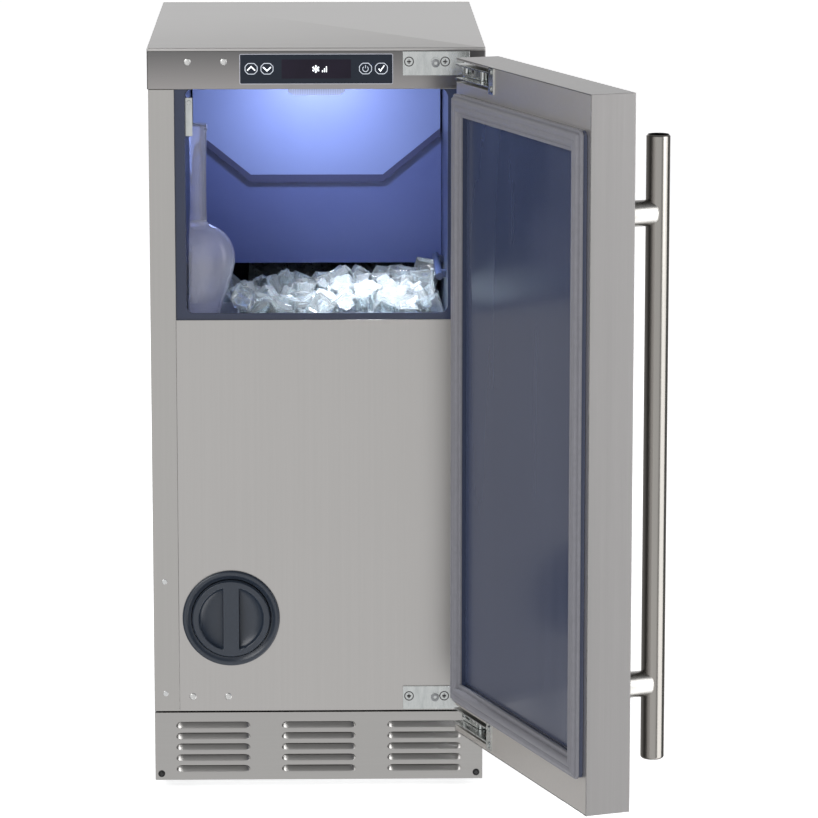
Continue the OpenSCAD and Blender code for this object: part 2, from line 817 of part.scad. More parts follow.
module hinge_plates() {
    color(zinc) for (z = hinge_zs) {
        difference() {
            union() {
                box([plate_x0, -2, z - plate_h / 2], [plate_x1, 0, z + plate_h / 2]);
                for (s = [-1, 1]) {
                    box([p1[0] - ear_r, p1[1], s > 0 ? z + ear_in : z - ear_in - ear_t],
                        [p1[0] + ear_r, -1.9, s > 0 ? z + ear_in + ear_t : z - ear_in]);
                    pole(p1, s > 0 ? z + ear_in : z - ear_in - ear_t,
                        s > 0 ? z + ear_in + ear_t : z - ear_in, ear_r);
                }
            }
            for (x = screw_xs) bar_y(x, z + screw_up, -3, 1, 2.1);
            bar_y(plate_x0 + 37, z + screw_up, -2.5, -1.4, 4.75);
        }
        pole(p1, z - 7.2, z + 7.2, pin_r);
    }
}

module hinge_screws() {
    color([0.55, 0.56, 0.57]) for (z = hinge_zs, x = screw_xs) {
        bar_y(x, z + screw_up, -3, -2, 3.8);
        bar_y(x, z + screw_up, -2.1, front_t + 0.2, 2);
    }
}

module hinge_links_a() {
    color(zinc) open_a() for (z = hinge_zs) {
        difference() {
            link_bar(p1, qc, z - 3, z + 3, link_w);
            pole(p1, z - 10, z + 10, pin_r + pin_gap);
        }
        pole(qc, z - 6.7, z + 6.7, pin_r);
    }
}

module hinge_links_b() {
    far = qc + arm_b * (28 / link_b);
    color(zinc) open_b() for (z = hinge_zs) difference() {
        union() {
            link_bar(qc, p2c, z + 3.2, z + 6.3, link_w);
            link_bar(qc, p2c, z - 6.3, z - 3.2, link_w);
            link_bar(far + arm_b * (5 / link_b), p2c, z - 3.4, z + 3.4, link_w);
        }
        pole(qc, z - 10, z + 10, pin_r + pin_gap);
        pole(p2c, z - 10, z + 10, pin_r + pin_gap);
    }
}

// ---------- door ----------

// Space that a hinge pocket takes in the door, grown by t
module pocket_room(z, t) {
    box([dw - pocket_l - t, in_y - pocket_d - t, z - 12 - t], [dw + 1, in_y + 1, z + 12 + t]);
}

module door_skin() {
    color(steel) open_door() difference() {
        box([-dw, out_y, door_bot], [dw, in_y, door_top]);
        box([-dw + sheet, out_y + sheet, door_bot + sheet], [dw - sheet, in_y + 1, door_top - sheet]);
        for (z = hinge_zs) pocket_room(z, 1.3);
        for (s = [-1, 1])
            bar_y(-dw + tube_in, door_mid + s * post_span / 2, out_y - 1, out_y + sheet + 1, 3);
    }
}

door_mid = (door_top + door_bot) / 2 - 3;

module door_inner_frame() {
    x = dw - sheet - 0.1;
    color(steel) open_door() difference() {
        union() {
            box([-x, in_y - 1.2, door_bot + sheet + 0.1], [x, in_y, door_top - sheet - 0.1]);
            for (z = hinge_zs)
                box([dw - pocket_l - 1, in_y - pocket_d - 1, max(z - 13, door_bot + sheet + 0.1)],
                    [dw - 0.1, in_y, min(z + 13, door_top - sheet - 0.1)]);
        }
        box([-dw + ring_side + ring_w, in_y - 3, door_bot + ring_end + ring_w],
            [dw - ring_side - ring_w, in_y + 1, door_top - ring_end - ring_w]);
        for (z = hinge_zs) pocket_room(z, 0);
        for (z = hinge_zs, s = [-1, 1])
            bar_y(dw - 104.5, z + s * 9.3, in_y - 5, in_y + 1, 1.8);
    }
}

module door_foam() {
    color([0.93, 0.88, 0.70]) open_door() difference() {
        box([-dw + sheet + 0.2, out_y + sheet + 0.2, door_bot + sheet + 0.2],
            [dw - sheet - 0.2, in_y - 2.2, door_top - sheet - 0.2]);
        for (z = hinge_zs) pocket_room(z, 1.6);
        for (z = hinge_zs, s = [-1, 1])
            bar_y(dw - 104.5, z + s * 9.3, in_y - 12, in_y + 1, 1.9);
        for (s = [-1, 1])
            bar_y(-dw + tube_in, door_mid + s * post_span / 2, out_y - 1, out_y + 16, 7.2);
    }
}

// Ring-shaped outline round the inside of the door
module ring_shape(outer, inner, ro, ri) {
    w = 2 * (dw - ring_side);
    h = door_top - door_bot - 2 * ring_end;
    difference() {
        rrect(w - 2 * outer, h - 2 * outer, ro);
        rrect(w - 2 * inner, h - 2 * inner, ri);
    }
}

module door_liner() {
    zc = (door_top + door_bot) / 2;
    color(navy) open_door() {
        front_plate(0, zc, in_y + 0.2, in_y + 5) ring_shape(0.5, ring_w - 0.5, 8, 4);
        box([-dw + ring_side + ring_w + 0.2, in_y - 1.4, door_bot + ring_end + ring_w + 0.2],
            [dw - ring_side - ring_w - 0.2, in_y + 0.9, door_top - ring_end - ring_w - 0.2]);
    }
}

module door_gasket() {
    zc = (door_top + door_bot) / 2;
    color(lilac) open_door() {
        front_plate(0, zc, in_y + 5, in_y + 8) ring_shape(0, ring_w, 9, 4);
        front_plate(0, zc, in_y + 7.9, in_y + 11.9) ring_shape(3, ring_w - 5, 6, 5);
    }
}

module door_hinge_arms() {
    x1 = dw - 1;
    floor_y = in_y - pocket_d + 0.1;
    color(zinc) open_door() for (z = hinge_zs) difference() {
        union() {
            box([x1 - 62, floor_y, z - 8.4], [x1, floor_y + 1.4, z + 8.4]);
            for (s = [-1, 1]) {
                box([x1 - 66, floor_y, s > 0 ? z + 6.9 : z - 8.4], [x1, in_y + 1.4, s > 0 ? z + 8.4 : z - 6.9]);
                box([x1 - 110, in_y - 6, s > 0 ? z + 6.9 : z - 8.4], [x1 - 60, in_y + 1.4, s > 0 ? z + 8.4 : z - 6.9]);
            }
            box([dw - 111, in_y, z - 15], [dw - 98, in_y + 1.4, z + 15]);
        }
        box([dw - 112, in_y - 8, z - 16], [dw - pocket_l - 0.1, in_y, z + 16]);
        for (s = [-1, 1]) bar_y(dw - 104.5, z + s * 9.3, in_y - 5, in_y + 3, 2);
    }
    color(zinc) open_door() for (z = hinge_zs) {
        pole(p2c, z - 8.4, z + 8.4, pin_r);
        for (s = [-1, 1]) {
            bar_y(dw - 104.5, z + s * 9.3, in_y - 8, in_y + 1.4, 1.7);
            bar_y(dw - 104.5, z + s * 9.3, in_y + 1.4, in_y + 3, 3.4);
        }
    }
}

module handle_tube() {
    x = -dw + tube_in;
    y = out_y - tube_out;
    color([0.72, 0.70, 0.68]) open_door() difference() {
        pole([x, y], door_mid - tube_len / 2, door_mid + tube_len / 2, tube_d / 2);
        pole([x, y], door_mid - tube_len / 2 + 3, door_mid + tube_len / 2 - 3, tube_d / 2 - 1.5);
    }
}

module handle_posts() {
    x = -dw + tube_in;
    y = out_y - tube_out;
    color([0.76, 0.75, 0.73]) open_door() for (s = [-1, 1]) {
        z = door_mid + s * post_span / 2;
        difference() {
            bar_y(x, z, y + 3, out_y, 14);
            pole([x, y], z - 30, z + 30, tube_d / 2);
        }
        bar_y(x, z, out_y - 0.1, out_y + 14, 2.9);
        bar_y(x, z, out_y + sheet, out_y + 5, 7);
    }
}

// ---------- assembly ----------

top_panel();
front_fascia();
side_panel_left();
side_panel_right();
lower_front_panel();
back_panel();
base_pan();
kick_plate();
kick_screws();
hole_plugs();
stile_screws();
leg_front_left();
leg_front_right();
leg_rear_left();
leg_rear_right();
control_glass();
display_window();
touch_symbols();
control_board();
bin_liner();
foam_shell();
bin_lamp();
sensor_bracket();
thermostat_tube();
bin_baffle();
splash_curtain();
curtain_edge();
evaporator_plate();
evaporator_coil();
distribution_tube();
water_trough();
circulation_pump();
cutter_grid();
ice_heap();
scoop();
scoop_holder();
filter_housing();
filter_bezel();
filter_cap();
filter_cartridge();
compressor();
condenser();
fan_shroud();
fan_blade();
fan_motor();
water_valve();
drain_pump();
cord_gland();
hinge_plates();
hinge_screws();
hinge_links_a();
hinge_links_b();
door_skin();
door_inner_frame();
door_foam();
door_liner();
door_gasket();
door_hinge_arms();
handle_tube();
handle_posts();
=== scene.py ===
import math
import bmesh
import bpy
import numpy as np
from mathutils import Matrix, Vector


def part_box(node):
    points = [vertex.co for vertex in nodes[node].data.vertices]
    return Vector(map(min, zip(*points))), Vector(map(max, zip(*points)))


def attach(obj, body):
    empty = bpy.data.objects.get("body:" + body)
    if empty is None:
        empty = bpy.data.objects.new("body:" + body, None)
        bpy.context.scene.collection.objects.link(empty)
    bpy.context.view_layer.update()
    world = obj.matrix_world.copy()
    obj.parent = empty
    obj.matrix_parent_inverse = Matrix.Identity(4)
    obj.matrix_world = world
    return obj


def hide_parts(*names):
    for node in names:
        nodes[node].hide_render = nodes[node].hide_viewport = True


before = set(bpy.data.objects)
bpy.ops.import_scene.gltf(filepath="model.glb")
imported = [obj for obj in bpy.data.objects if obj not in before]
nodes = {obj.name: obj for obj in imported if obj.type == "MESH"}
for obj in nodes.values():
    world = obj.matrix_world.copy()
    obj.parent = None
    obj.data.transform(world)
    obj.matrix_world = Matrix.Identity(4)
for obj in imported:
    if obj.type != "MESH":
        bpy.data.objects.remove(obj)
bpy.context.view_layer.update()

# ---------------------------------------------------------------------------
# The studio: a long lens at the height of a person's chest, a white room,
# a pale floor, one big soft light at the upper left and a weaker one on the right.
# ---------------------------------------------------------------------------
lens = bpy.data.cameras.new("studio_camera")
lens.lens, lens.sensor_width = 194.4, 36.0
lens.clip_start, lens.clip_end = 0.1, 200.0
camera = bpy.data.objects.new("studio_camera", lens)
camera.location = (0.004, -4.939, 1.3756)
camera.rotation_euler = (math.radians(90 - 10.67), 0, math.radians(-1.16))
bpy.context.scene.collection.objects.link(camera)
bpy.context.scene.camera = camera
bpy.context.scene.view_settings.view_transform = "Standard"


def soft_light(name, place, target, width, height, watts, colour=(1, 1, 1)):
    """A rectangular light at place that faces target."""
    data = bpy.data.lights.new(name, "AREA")
    data.shape, data.size, data.size_y = "RECTANGLE", width, height
    data.energy, data.color = watts, colour
    lamp = bpy.data.objects.new(name, data)
    bpy.context.scene.collection.objects.link(lamp)
    lamp.location = place
    away = np.array(place, float) - np.array(target, float)
    turn = math.atan2(away[0], -away[1])
    tip = math.atan2(math.hypot(away[0], away[1]), away[2])
    lamp.rotation_euler = (tip, 0, turn)
    return lamp


soft_light("key_softbox", (-2.4, -2.6, 2.6), (0, 0.1, 0.45), 2.2, 2.2, 60)
soft_light("side_softbox", (2.8, -1.6, 1.4), (0.1, 0, 0.45), 1.2, 2.4, 16)
rim = soft_light("back_softbox", (-0.6, 2.6, 2.8), (0, 0.3, 0.5), 2.6, 1.4, 34)
rim.visible_glossy = False


class Value:
    """One number in a shader. Arithmetic on it adds the Math nodes."""

    def __init__(self, tree, socket):
        self.tree, self.socket = tree, socket

    def math(self, operation, other=None, swap=False):
        node = self.tree.nodes.new("ShaderNodeMath")
        node.operation = operation
        pair = [self, other] if not swap else [other, self]
        for slot, item in zip(node.inputs, pair):
            if isinstance(item, Value):
                self.tree.links.new(item.socket, slot)
            elif item is not None:
                slot.default_value = item
        return Value(self.tree, node.outputs[0])

    def __add__(self, other): return self.math("ADD", other)
    def __radd__(self, other): return self.math("ADD", other, True)
    def __sub__(self, other): return self.math("SUBTRACT", other)
    def __rsub__(self, other): return self.math("SUBTRACT", other, True)
    def __mul__(self, other): return self.math("MULTIPLY", other)
    def __rmul__(self, other): return self.math("MULTIPLY", other, True)
    def __truediv__(self, other): return self.math("DIVIDE", other)
    def __rtruediv__(self, other): return self.math("DIVIDE", other, True)
    def __pow__(self, other): return self.math("POWER", other)


class Finish:
    """A material with its Principled shader. node() adds any other node: type, settings, inputs."""

    def __init__(self, name, **constants):
        self.material = bpy.data.materials.new(name)
        self.material.use_nodes = True
        self.tree = self.material.node_tree
        self.shader = self.tree.nodes["Principled BSDF"]
        for key, value in constants.items():
            self.shader.inputs[key.replace("_", " ")].default_value = value

    def node(self, kind, settings=None, inputs=None, out=0):
        node = self.tree.nodes.new("ShaderNode" + kind)
        for key, value in (settings or {}).items():
            if key == "stops":
                ramp = node.color_ramp.elements
                while len(ramp) < len(value):
                    ramp.new(0.5)
                for stop, (place, colour) in zip(ramp, value):
                    stop.position, stop.color = place, colour
            else:
                setattr(node, key, value)
        for key, value in (inputs or {}).items():
            if isinstance(value, Value):
                self.tree.links.new(value.socket, node.inputs[key])
            else:
                node.inputs[key].default_value = value
        return Value(self.tree, node.outputs[out])

    def drive(self, socket, value):
        self.tree.links.new(value.socket, self.shader.inputs[socket])

    def place(self, scale=(1, 1, 1), turn=(0, 0, 0), shift=(0, 0, 0), source="Object"):
        """The point being shaded, in metres, turned and then stretched for a pattern."""
        spot = self.node("TexCoord", out=source)
        spot = self.node("Mapping", {}, {"Vector": spot, "Rotation": turn, "Location": shift})
        return self.node("Mapping", {}, {"Vector": spot, "Scale": scale})

    def noise(self, where, scale=1.0, detail=2.0, rough=0.5):
        return self.node("TexNoise", {}, {"Vector": where, "Scale": scale, "Detail": detail, "Roughness": rough})

    def blend(self, amount, dark, light):
        """A colour between two colours, by a value from 0 to 1."""
        mix = self.tree.nodes.new("ShaderNodeMix")
        mix.data_type = "RGBA"
        self.tree.links.new(amount.socket, mix.inputs[0])
        for slot, item in ((mix.inputs[6], dark), (mix.inputs[7], light)):
            if isinstance(item, Value):
                self.tree.links.new(item.socket, slot)
            else:
                slot.default_value = (*item, 1)
        return Value(self.tree, mix.outputs[2])

    def relief(self, height, depth, strength=1.0, edge=0.0):
        """A bump of that height in metres, over edges softened by a radius."""
        links = {"Height": height, "Distance": depth, "Strength": strength}
        if edge:
            links["Normal"] = self.node("Bevel", {"samples": 4}, {"Radius": edge})
        self.drive("Normal", self.node("Bump", {}, links))


room = bpy.data.worlds.new("white_room")
bpy.context.scene.world = room
room.use_nodes = True
sky = room.node_tree
spot = sky.nodes.new("ShaderNodeTexCoord")
axes = sky.nodes.new("ShaderNodeSeparateXYZ")
sky.links.new(spot.outputs["Generated"], axes.inputs[0])
east, north, above = (Value(sky, socket) for socket in axes.outputs)
bearing = east.math("ARCTAN2", north * -1.0) / (2 * math.pi) + 0.5
walls = sky.nodes.new("ShaderNodeValToRGB")
sky.links.new(bearing.socket, walls.inputs[0])
# Round the room, from behind past the left wall, the front and the right wall: a dark gap between
# two white walls faces the object, so that brushed steel has something to mirror.
bands = [(0.0, 0.95), (0.09, 0.90), (0.14, 0.45), (0.20, 0.26), (0.383, 0.24), (0.39, 1.3), (0.408, 1.3), (0.416, 0.96), (0.57, 0.90), (0.60, 0.40),
         (0.618, 0.40), (0.637, 2.4), (0.755, 2.4), (0.775, 0.15), (0.87, 0.15), (0.93, 0.90), (1.0, 0.95)]
ramp = walls.color_ramp.elements
while len(ramp) < len(bands):
    ramp.new(0.5)
for stop, (place, grey) in zip(ramp, bands):
    stop.position, stop.color = place, (grey, grey, grey * 1.005, 1)
ceiling = (above * 2.2 - 0.55).math("MAXIMUM", 0.0).math("MINIMUM", 1.0)
veil = sky.nodes.new("ShaderNodeMix")
veil.data_type = "RGBA"
sky.links.new(ceiling.socket, veil.inputs[0])
sky.links.new(walls.outputs[0], veil.inputs[6])
veil.inputs[7].default_value = (0.20, 0.20, 0.202, 1)
lit = sky.nodes["Background"]
sky.links.new(veil.outputs[2], lit.inputs["Color"])
lit.inputs["Strength"].default_value = 1.0
backdrop = sky.nodes.new("ShaderNodeBackground")
backdrop.inputs["Color"].default_value = (1, 1, 1, 1)
path = sky.nodes.new("ShaderNodeLightPath")
either = sky.nodes.new("ShaderNodeMixShader")
sky.links.new(path.outputs["Is Camera Ray"], either.inputs[0])
sky.links.new(lit.outputs[0], either.inputs[1])
sky.links.new(backdrop.outputs[0], either.inputs[2])
sky.links.new(either.outputs[0], sky.nodes["World Output"].inputs["Surface"])

pale = Finish("pale_floor", Roughness=0.75, Specular_IOR_Level=0.1, Emission_Color=(1, 1, 1, 1), Emission_Strength=0.7)
cloud = pale.noise(pale.place(), 3.0)
pale.drive("Base Color", pale.blend(cloud, (0.93, 0.93, 0.93), (0.95, 0.95, 0.95)))


def grid_faces(rows, columns, loop_rows=False, loop_columns=False):
    """Quads between neighbouring rows and columns of a grid of points."""
    r = np.arange(rows if loop_rows else rows - 1)[:, None]
    c = np.arange(columns if loop_columns else columns - 1)[None, :]
    r2, c2 = (r + 1) % rows, (c + 1) % columns
    quads = np.stack(np.broadcast_arrays(r * columns + c, r * columns + c2, r2 * columns + c2, r2 * columns + c), -1)
    return quads.reshape(-1, 4)


def join_parts(parts):
    """Several (points, faces) pairs as one, with the faces renumbered."""
    points, faces, start = [], [], 0
    for p, f in parts:
        p = np.asarray(p, float).reshape(-1, 3)
        points.append(p)
        faces += [[i + start for i in face] for face in (f.tolist() if hasattr(f, "tolist") else f)]
        start += len(p)
    return np.concatenate(points), faces


def make_piece(name, parts, finish, body, replaced=(), sharp=35, outward=True):
    """A mesh from (points, faces) parts: doubles merged, faces turned outwards, riding on a body."""
    points, faces = join_parts(parts)
    mesh = bpy.data.meshes.new(name)
    mesh.from_pydata(points.tolist(), [], faces)
    work = bmesh.new()
    work.from_mesh(mesh)
    bmesh.ops.remove_doubles(work, verts=work.verts, dist=2e-6)
    bmesh.ops.dissolve_degenerate(work, edges=work.edges, dist=1e-7)
    if outward:
        bmesh.ops.recalc_face_normals(work, faces=work.faces)
    work.to_mesh(mesh)
    work.free()
    mesh.shade_smooth()
    mesh.set_sharp_from_angle(angle=math.radians(sharp))
    piece = bpy.data.objects.new(name, mesh)
    bpy.context.scene.collection.objects.link(piece)
    mesh.materials.append(finish.material)
    if body:
        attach(piece, body)
    if replaced:
        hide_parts(*replaced)
    return piece


ground = make_piece("floor", [(np.array([(-30, -12, 0), (30, -12, 0), (30, 45, 0), (-30, 45, 0)]), [[0, 1, 2, 3]])],
                    pale, None, outward=False)
ground.visible_glossy = False


def dress(finish, *names):
    """Gives CAD nodes a finish, in every material slot they have."""
    for name in names:
        mesh = nodes[name].data
        if not mesh.materials:
            mesh.materials.append(finish.material)
        for i in range(len(mesh.materials)):
            mesh.materials[i] = finish.material


# ---------------------------------------------------------------------------
# Outer cabinet: folded sheets of brushed stainless steel, screwed and hooked
# together. The cap is one pressed tray that overhangs the sides by a millimetre.
# ---------------------------------------------------------------------------
def brushed(name, colour, along, rough=0.3, spread=0.05, edge=0.0006):
    """Brushed steel. Long streaks run along one axis: noise that is stretched along it and squeezed across it,
    in a fine and a broad layer, shades colour and roughness and raises a faint bump."""
    steel = Finish(name, Metallic=1.0)
    fine = [2600.0] * 3
    broad = [300.0] * 3
    fine["xyz".index(along)], broad["xyz".index(along)] = 14.0, 1.6
    hair = steel.noise(steel.place(fine), 1.0, 2.0)
    streak = steel.noise(steel.place(broad), 1.0, 3.0)
    cloud = steel.noise(steel.place(), 2.2, 2.0)
    tone = hair * 0.35 + streak * 0.3 + cloud * 0.35
    low = [c * (1 - spread) for c in colour]
    high = [min(c * (1 + spread), 1) for c in colour]
    spots = steel.node("ValToRGB", {"stops": [(0.3, (0, 0, 0, 1)), (0.7, (1, 1, 1, 1))]}, {"Fac": tone})
    steel.drive("Base Color", steel.blend(spots, low, high))
    steel.drive("Roughness", hair * 0.10 + streak * 0.07 + (rough - 0.085))
    steel.relief(hair + streak * 0.6, 0.00003, 0.5, edge)
    return steel


def outline(width, height, radius, step=4):
    """A rectangle with round corners, centred, as points that run round it once."""
    turn = np.arange(4)[:, None] * 90 + np.linspace(0, 90, step + 1)[None, :]
    turn = np.radians(turn)
    cx = np.array([1, -1, -1, 1])[:, None] * (width / 2 - radius)
    cy = np.array([1, 1, -1, -1])[:, None] * (height / 2 - radius)
    return np.stack([cx + radius * np.cos(turn), cy + radius * np.sin(turn)], -1).reshape(-1, 2)


def stacked(width, height, radius, steps, spot, across, up, out, step=4):
    """A plate built of round-cornered outlines: each step gives how far the outline is drawn in and how far out
    it stands, measured from spot along the direction out. Both ends are closed."""
    spot, across, up, out = (np.array(v, float) for v in (spot, across, up, out))
    rings = []
    for inset, stand in steps:
        flat = outline(width - 2 * inset, height - 2 * inset, max(radius - inset, radius * 0.15), step)
        rings.append(spot + flat[:, :1] * across + flat[:, 1:] * up + stand * out)
    count = len(rings[0])
    faces = grid_faces(len(rings), count, loop_columns=True).tolist()
    faces.append(list(range(count))[::-1])
    faces.append([count * (len(rings) - 1) + i for i in range(count)])
    return np.concatenate(rings), faces


def soft_edge(stand0, stand1, round0, round1, count=4):
    """Steps for stacked() that go from stand0 to stand1 with quarter-round edges."""
    a = np.linspace(0, math.pi / 2, count + 1)
    start = [(round0 * (1 - math.sin(t)), stand0 + round0 * (1 - math.cos(t))) for t in a]
    end = [(round1 * (1 - math.cos(t)), stand1 - round1 * (1 - math.sin(t))) for t in a]
    return start + end


top_steel = brushed("cap_brushed_steel", (0.50, 0.49, 0.48), "x", 0.34, 0.04)
low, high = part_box("top_panel")
centre, size = (low + high) / 2, high - low
cap = stacked(size.x, size.y, 0.0012, soft_edge(low.z, high.z, 0.0004, 0.0009), (centre.x, centre.y, 0),
              (1, 0, 0), (0, 1, 0), (0, 0, 1))
make_piece("cap_tray", [cap], top_steel, "cabinet", ["top_panel"])

# Painted shade: the fascia's steel is a darker copy of the cabinet steel.
fascia_shaded_steel = brushed("fascia_steel_painted_shade", (0.27, 0.262, 0.252), "x", 0.30, 0.05)
low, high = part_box("front_fascia")


def along_path(path, profile):
    """A closed profile (out, up) carried along a path in plan (x, y) with mitred corners; ends closed."""
    path = np.array(path, float)
    ahead = np.diff(path, axis=0)
    ahead /= np.linalg.norm(ahead, axis=1)[:, None]
    side = np.stack([ahead[:, 1], -ahead[:, 0]], -1)
    side = np.concatenate([side[:1], side[:-1] + side[1:], side[-1:]])
    length = np.linalg.norm(side, axis=1)
    side /= (length ** 2 / np.where(length > 1.01, 2, 1))[:, None]
    profile = np.array(profile, float)
    flat = path[:, None, :] + side[:, None, :] * profile[None, :, :1]
    points = np.concatenate([flat, np.broadcast_to(profile[None, :, 1:], flat.shape[:2] + (1,))], -1)
    count = len(profile)
    faces = grid_faces(len(path), count, loop_columns=True).tolist()
    faces += [list(range(count)), [count * (len(path) - 1) + i for i in range(count)][::-1]]
    return points.reshape(-1, 3), faces


bend = [(0.0015 * math.cos(t), 0.0015 * math.sin(t)) for t in np.linspace(math.pi, math.pi * 1.5, 5)]
half = high.x
path = [(-half, 0.040)] + [(-half + 0.0015 + x, 0.0015 + y) for x, y in bend]
path += [(-x, y) for x, y in path[::-1]]
hem = [(0.0, high.z), (0.0, low.z + 0.0009), (-0.0002, low.z + 0.0004), (-0.0006, low.z),
       (-0.0010, low.z + 0.0004), (-0.0012, low.z + 0.0010), (-0.0012, high.z)]
# Painted shade: the fascia is darkest at its top under the cap and lightens towards its lower edge.
painted_shade_ramp = fascia_shaded_steel.node("SeparateXYZ", {}, {"Vector": fascia_shaded_steel.place()}, 2)
painted_shade_ramp = (0.8533 - painted_shade_ramp) / 0.043
fascia_shaded_steel.drive("Base Color", fascia_shaded_steel.blend(painted_shade_ramp, (0.165, 0.163, 0.162), (0.36, 0.345, 0.34)))
make_piece("fascia_band", [along_path(path, [(o, z) for o, z in hem])], fascia_shaded_steel, "cabinet", ["front_fascia"])

body_steel = brushed("panel_brushed_steel", (0.48, 0.468, 0.455), "z", 0.33, 0.05)
side_steel = brushed("side_brushed_steel", (0.45, 0.44, 0.425), "z", 0.33, 0.05)
dress(body_steel, "lower_front_panel")
dress(side_steel, "side_panel_left", "side_panel_right")


# ---------------------------------------------------------------------------
# Kick plate: one steel sheet with three columns of louvres. Each louvre is cut
# along its lower edge and pressed out into a hood with round ends.
# ---------------------------------------------------------------------------
kick_steel = brushed("kick_brushed_steel", (0.42, 0.412, 0.40), "x", 0.31, 0.05)
low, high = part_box("kick_plate")
columns = np.array([-0.1216, 0.0, 0.1216])
rows = 0.0233 + 0.0129 * np.arange(5)
louvre, hood_out, hood_top, hood_cut = 0.085, 0.0046, 0.0040, -0.0011
xs = np.sort(np.concatenate([[low.x, high.x], columns - louvre / 2 + 0.002, columns + louvre / 2 - 0.002]))
zs = np.sort(np.concatenate([[low.z, high.z], rows + hood_cut, rows + hood_top - 0.0006]))
X, Z = np.meshgrid(xs, zs, indexing="ij")
sheet_faces = grid_faces(len(xs), len(zs))
mid = np.stack([X.ravel(), Z.ravel()], -1)[sheet_faces].mean(1)
in_slot = (np.abs(mid[:, None, 0] - columns).min(1) < louvre / 2 - 0.002)
in_slot &= ((mid[:, None, 1] > rows + hood_cut) & (mid[:, None, 1] < rows + hood_top - 0.0006)).any(1)
kick_parts = []
for depth in (0.0, 0.0013):
    flat = np.stack([X.ravel(), np.full(X.size, depth), Z.ravel()], -1)
    kick_parts.append((flat, sheet_faces[~in_slot]))
rim = [(low.x, low.z), (high.x, low.z), (high.x, high.z), (low.x, high.z)]
rim = np.array([[(x, 0, z), (x, 0.0013, z)] for x, z in rim])
kick_parts.append((rim, grid_faces(4, 2, loop_rows=True)))


def louvre_hood(x, z, count=26, rise=9):
    """A pressed hood. Along u it swells from nothing to full within a few millimetres of each end, as the root of a
    circle does; down v it bends away from the sheet, out by hood_out at its cut edge, which also drops a little."""
    u = np.linspace(0, 1, count)[:, None]
    u = 0.5 - 0.5 * np.cos(math.pi * u)
    v = np.linspace(0, 1, rise)[None, :]
    run = (u - 0.5) * louvre
    end = np.clip((louvre / 2 - np.abs(run)) / 0.0075, 0, 1)
    swell = np.sqrt(1 - (1 - end) ** 2)
    top = hood_cut + (hood_top - hood_cut) * np.sqrt(np.clip(1 - (1 - np.clip(end * 1.25, 0, 1)) ** 2, 0, 1))
    out = hood_out * swell * (1.25 * v - 0.25 * v ** 2.5)
    drop = top + (hood_cut - 0.0016 * swell - top) * v
    shell = np.stack(np.broadcast_arrays(x + run, -out, z + drop), -1)
    inner = shell + np.array([0, 0.0009, 0.0002])
    inner[:, :, 1] = np.minimum(inner[:, :, 1], 0.0011)
    loop = np.concatenate([shell, inner[:, ::-1]], 1)
    return loop.reshape(-1, 3), grid_faces(count, rise * 2, loop_columns=True)


kick_parts += [louvre_hood(x, z) for x in columns for z in rows]
for s in (-1, 1):
    edge = stacked(0.0013, high.z - low.z, 0.0003, [(0, 0), (0, 0.0017)], (s * (high.x - 0.00065), 0.0012, (low.z + high.z) / 2),
                   (1, 0, 0), (0, 0, 1), (0, 1, 0), 1)
    kick_parts.append(edge)
make_piece("louvred_kick_plate", kick_parts, kick_steel, "cabinet", ["kick_plate"], sharp=40)


# ---------------------------------------------------------------------------
# Small fasteners: domed button plugs in the spare hinge holes, pan-head screws
# on the folds, black screws at the foot of the kick plate. Turned and cold-headed parts.
# ---------------------------------------------------------------------------
def turned(profile, spot, out, count=24):
    """A profile of (radius, height) pairs turned round the direction out through spot."""
    out = np.array(out, float) / np.linalg.norm(out)
    help_axis = np.array([0, 0, 1.0]) if abs(out[2]) < 0.9 else np.array([1.0, 0, 0])
    across = np.cross(out, help_axis)
    across /= np.linalg.norm(across)
    up = np.cross(out, across)
    profile = np.array(profile, float)
    turn = np.linspace(0, 2 * math.pi, count, endpoint=False)
    round_it = np.cos(turn)[:, None] * across + np.sin(turn)[:, None] * up
    points = np.array(spot) + profile[:, None, :1] * round_it + profile[:, None, 1:] * out
    return points.reshape(-1, 3), grid_faces(len(profile), count, loop_columns=True)


def dome(radius, height, sink=0.0):
    """Profile of a domed head: an ellipse quarter on a short straight rim, down to sink below the sheet."""
    a = np.linspace(0, math.pi / 2, 6)
    arc = [(radius * math.cos(t) + 1e-6, height * 0.3 + height * 0.7 * math.sin(t)) for t in a]
    return [(1e-6, sink), (radius * 0.5, sink), (radius * 0.5, 0.0), (radius, 0.0)] + arc


bright = Finish("bright_fastener", Metallic=1.0, Roughness=0.22)
grime = bright.noise(bright.place(), 900.0, 2.0)
bright.drive("Base Color", bright.blend(grime, (0.52, 0.53, 0.53), (0.72, 0.73, 0.73)))
bright.relief(grime, 0.00004)
plug_steel = Finish("plug_satin", Metallic=0.9, Roughness=0.35)
plug_steel.drive("Base Color", plug_steel.blend(plug_steel.noise(plug_steel.place(), 600.0), (0.56, 0.56, 0.55), (0.68, 0.68, 0.67)))
plugs = [turned(dome(0.004, 0.0015, -0.002), (x, 0, z), (0, -1, 0)) for x in (-0.104, -0.1445) for z in (0.8415, 0.109)]
make_piece("button_plugs", plugs, plug_steel, "cabinet", ["hole_plugs"])


def painted_cross_shade(profile_radius, depth, spot, out, up):
    """Painted shade for a cross recess: two crossed dark slips, plus-shaped, just proud of a screw's head, standing for
    the shadow in its socket.
    """
    parts = []
    for a, b in ((0.95, 0.24), (0.24, 0.95)):
        parts.append(stacked(profile_radius * a, profile_radius * b, profile_radius * 0.06, [(0, -0.0002), (0, 0), (0.00005, 0.00006)],
                             np.array(spot) + np.array(out) * depth, np.cross(up, out), up, out, 2))
    return parts
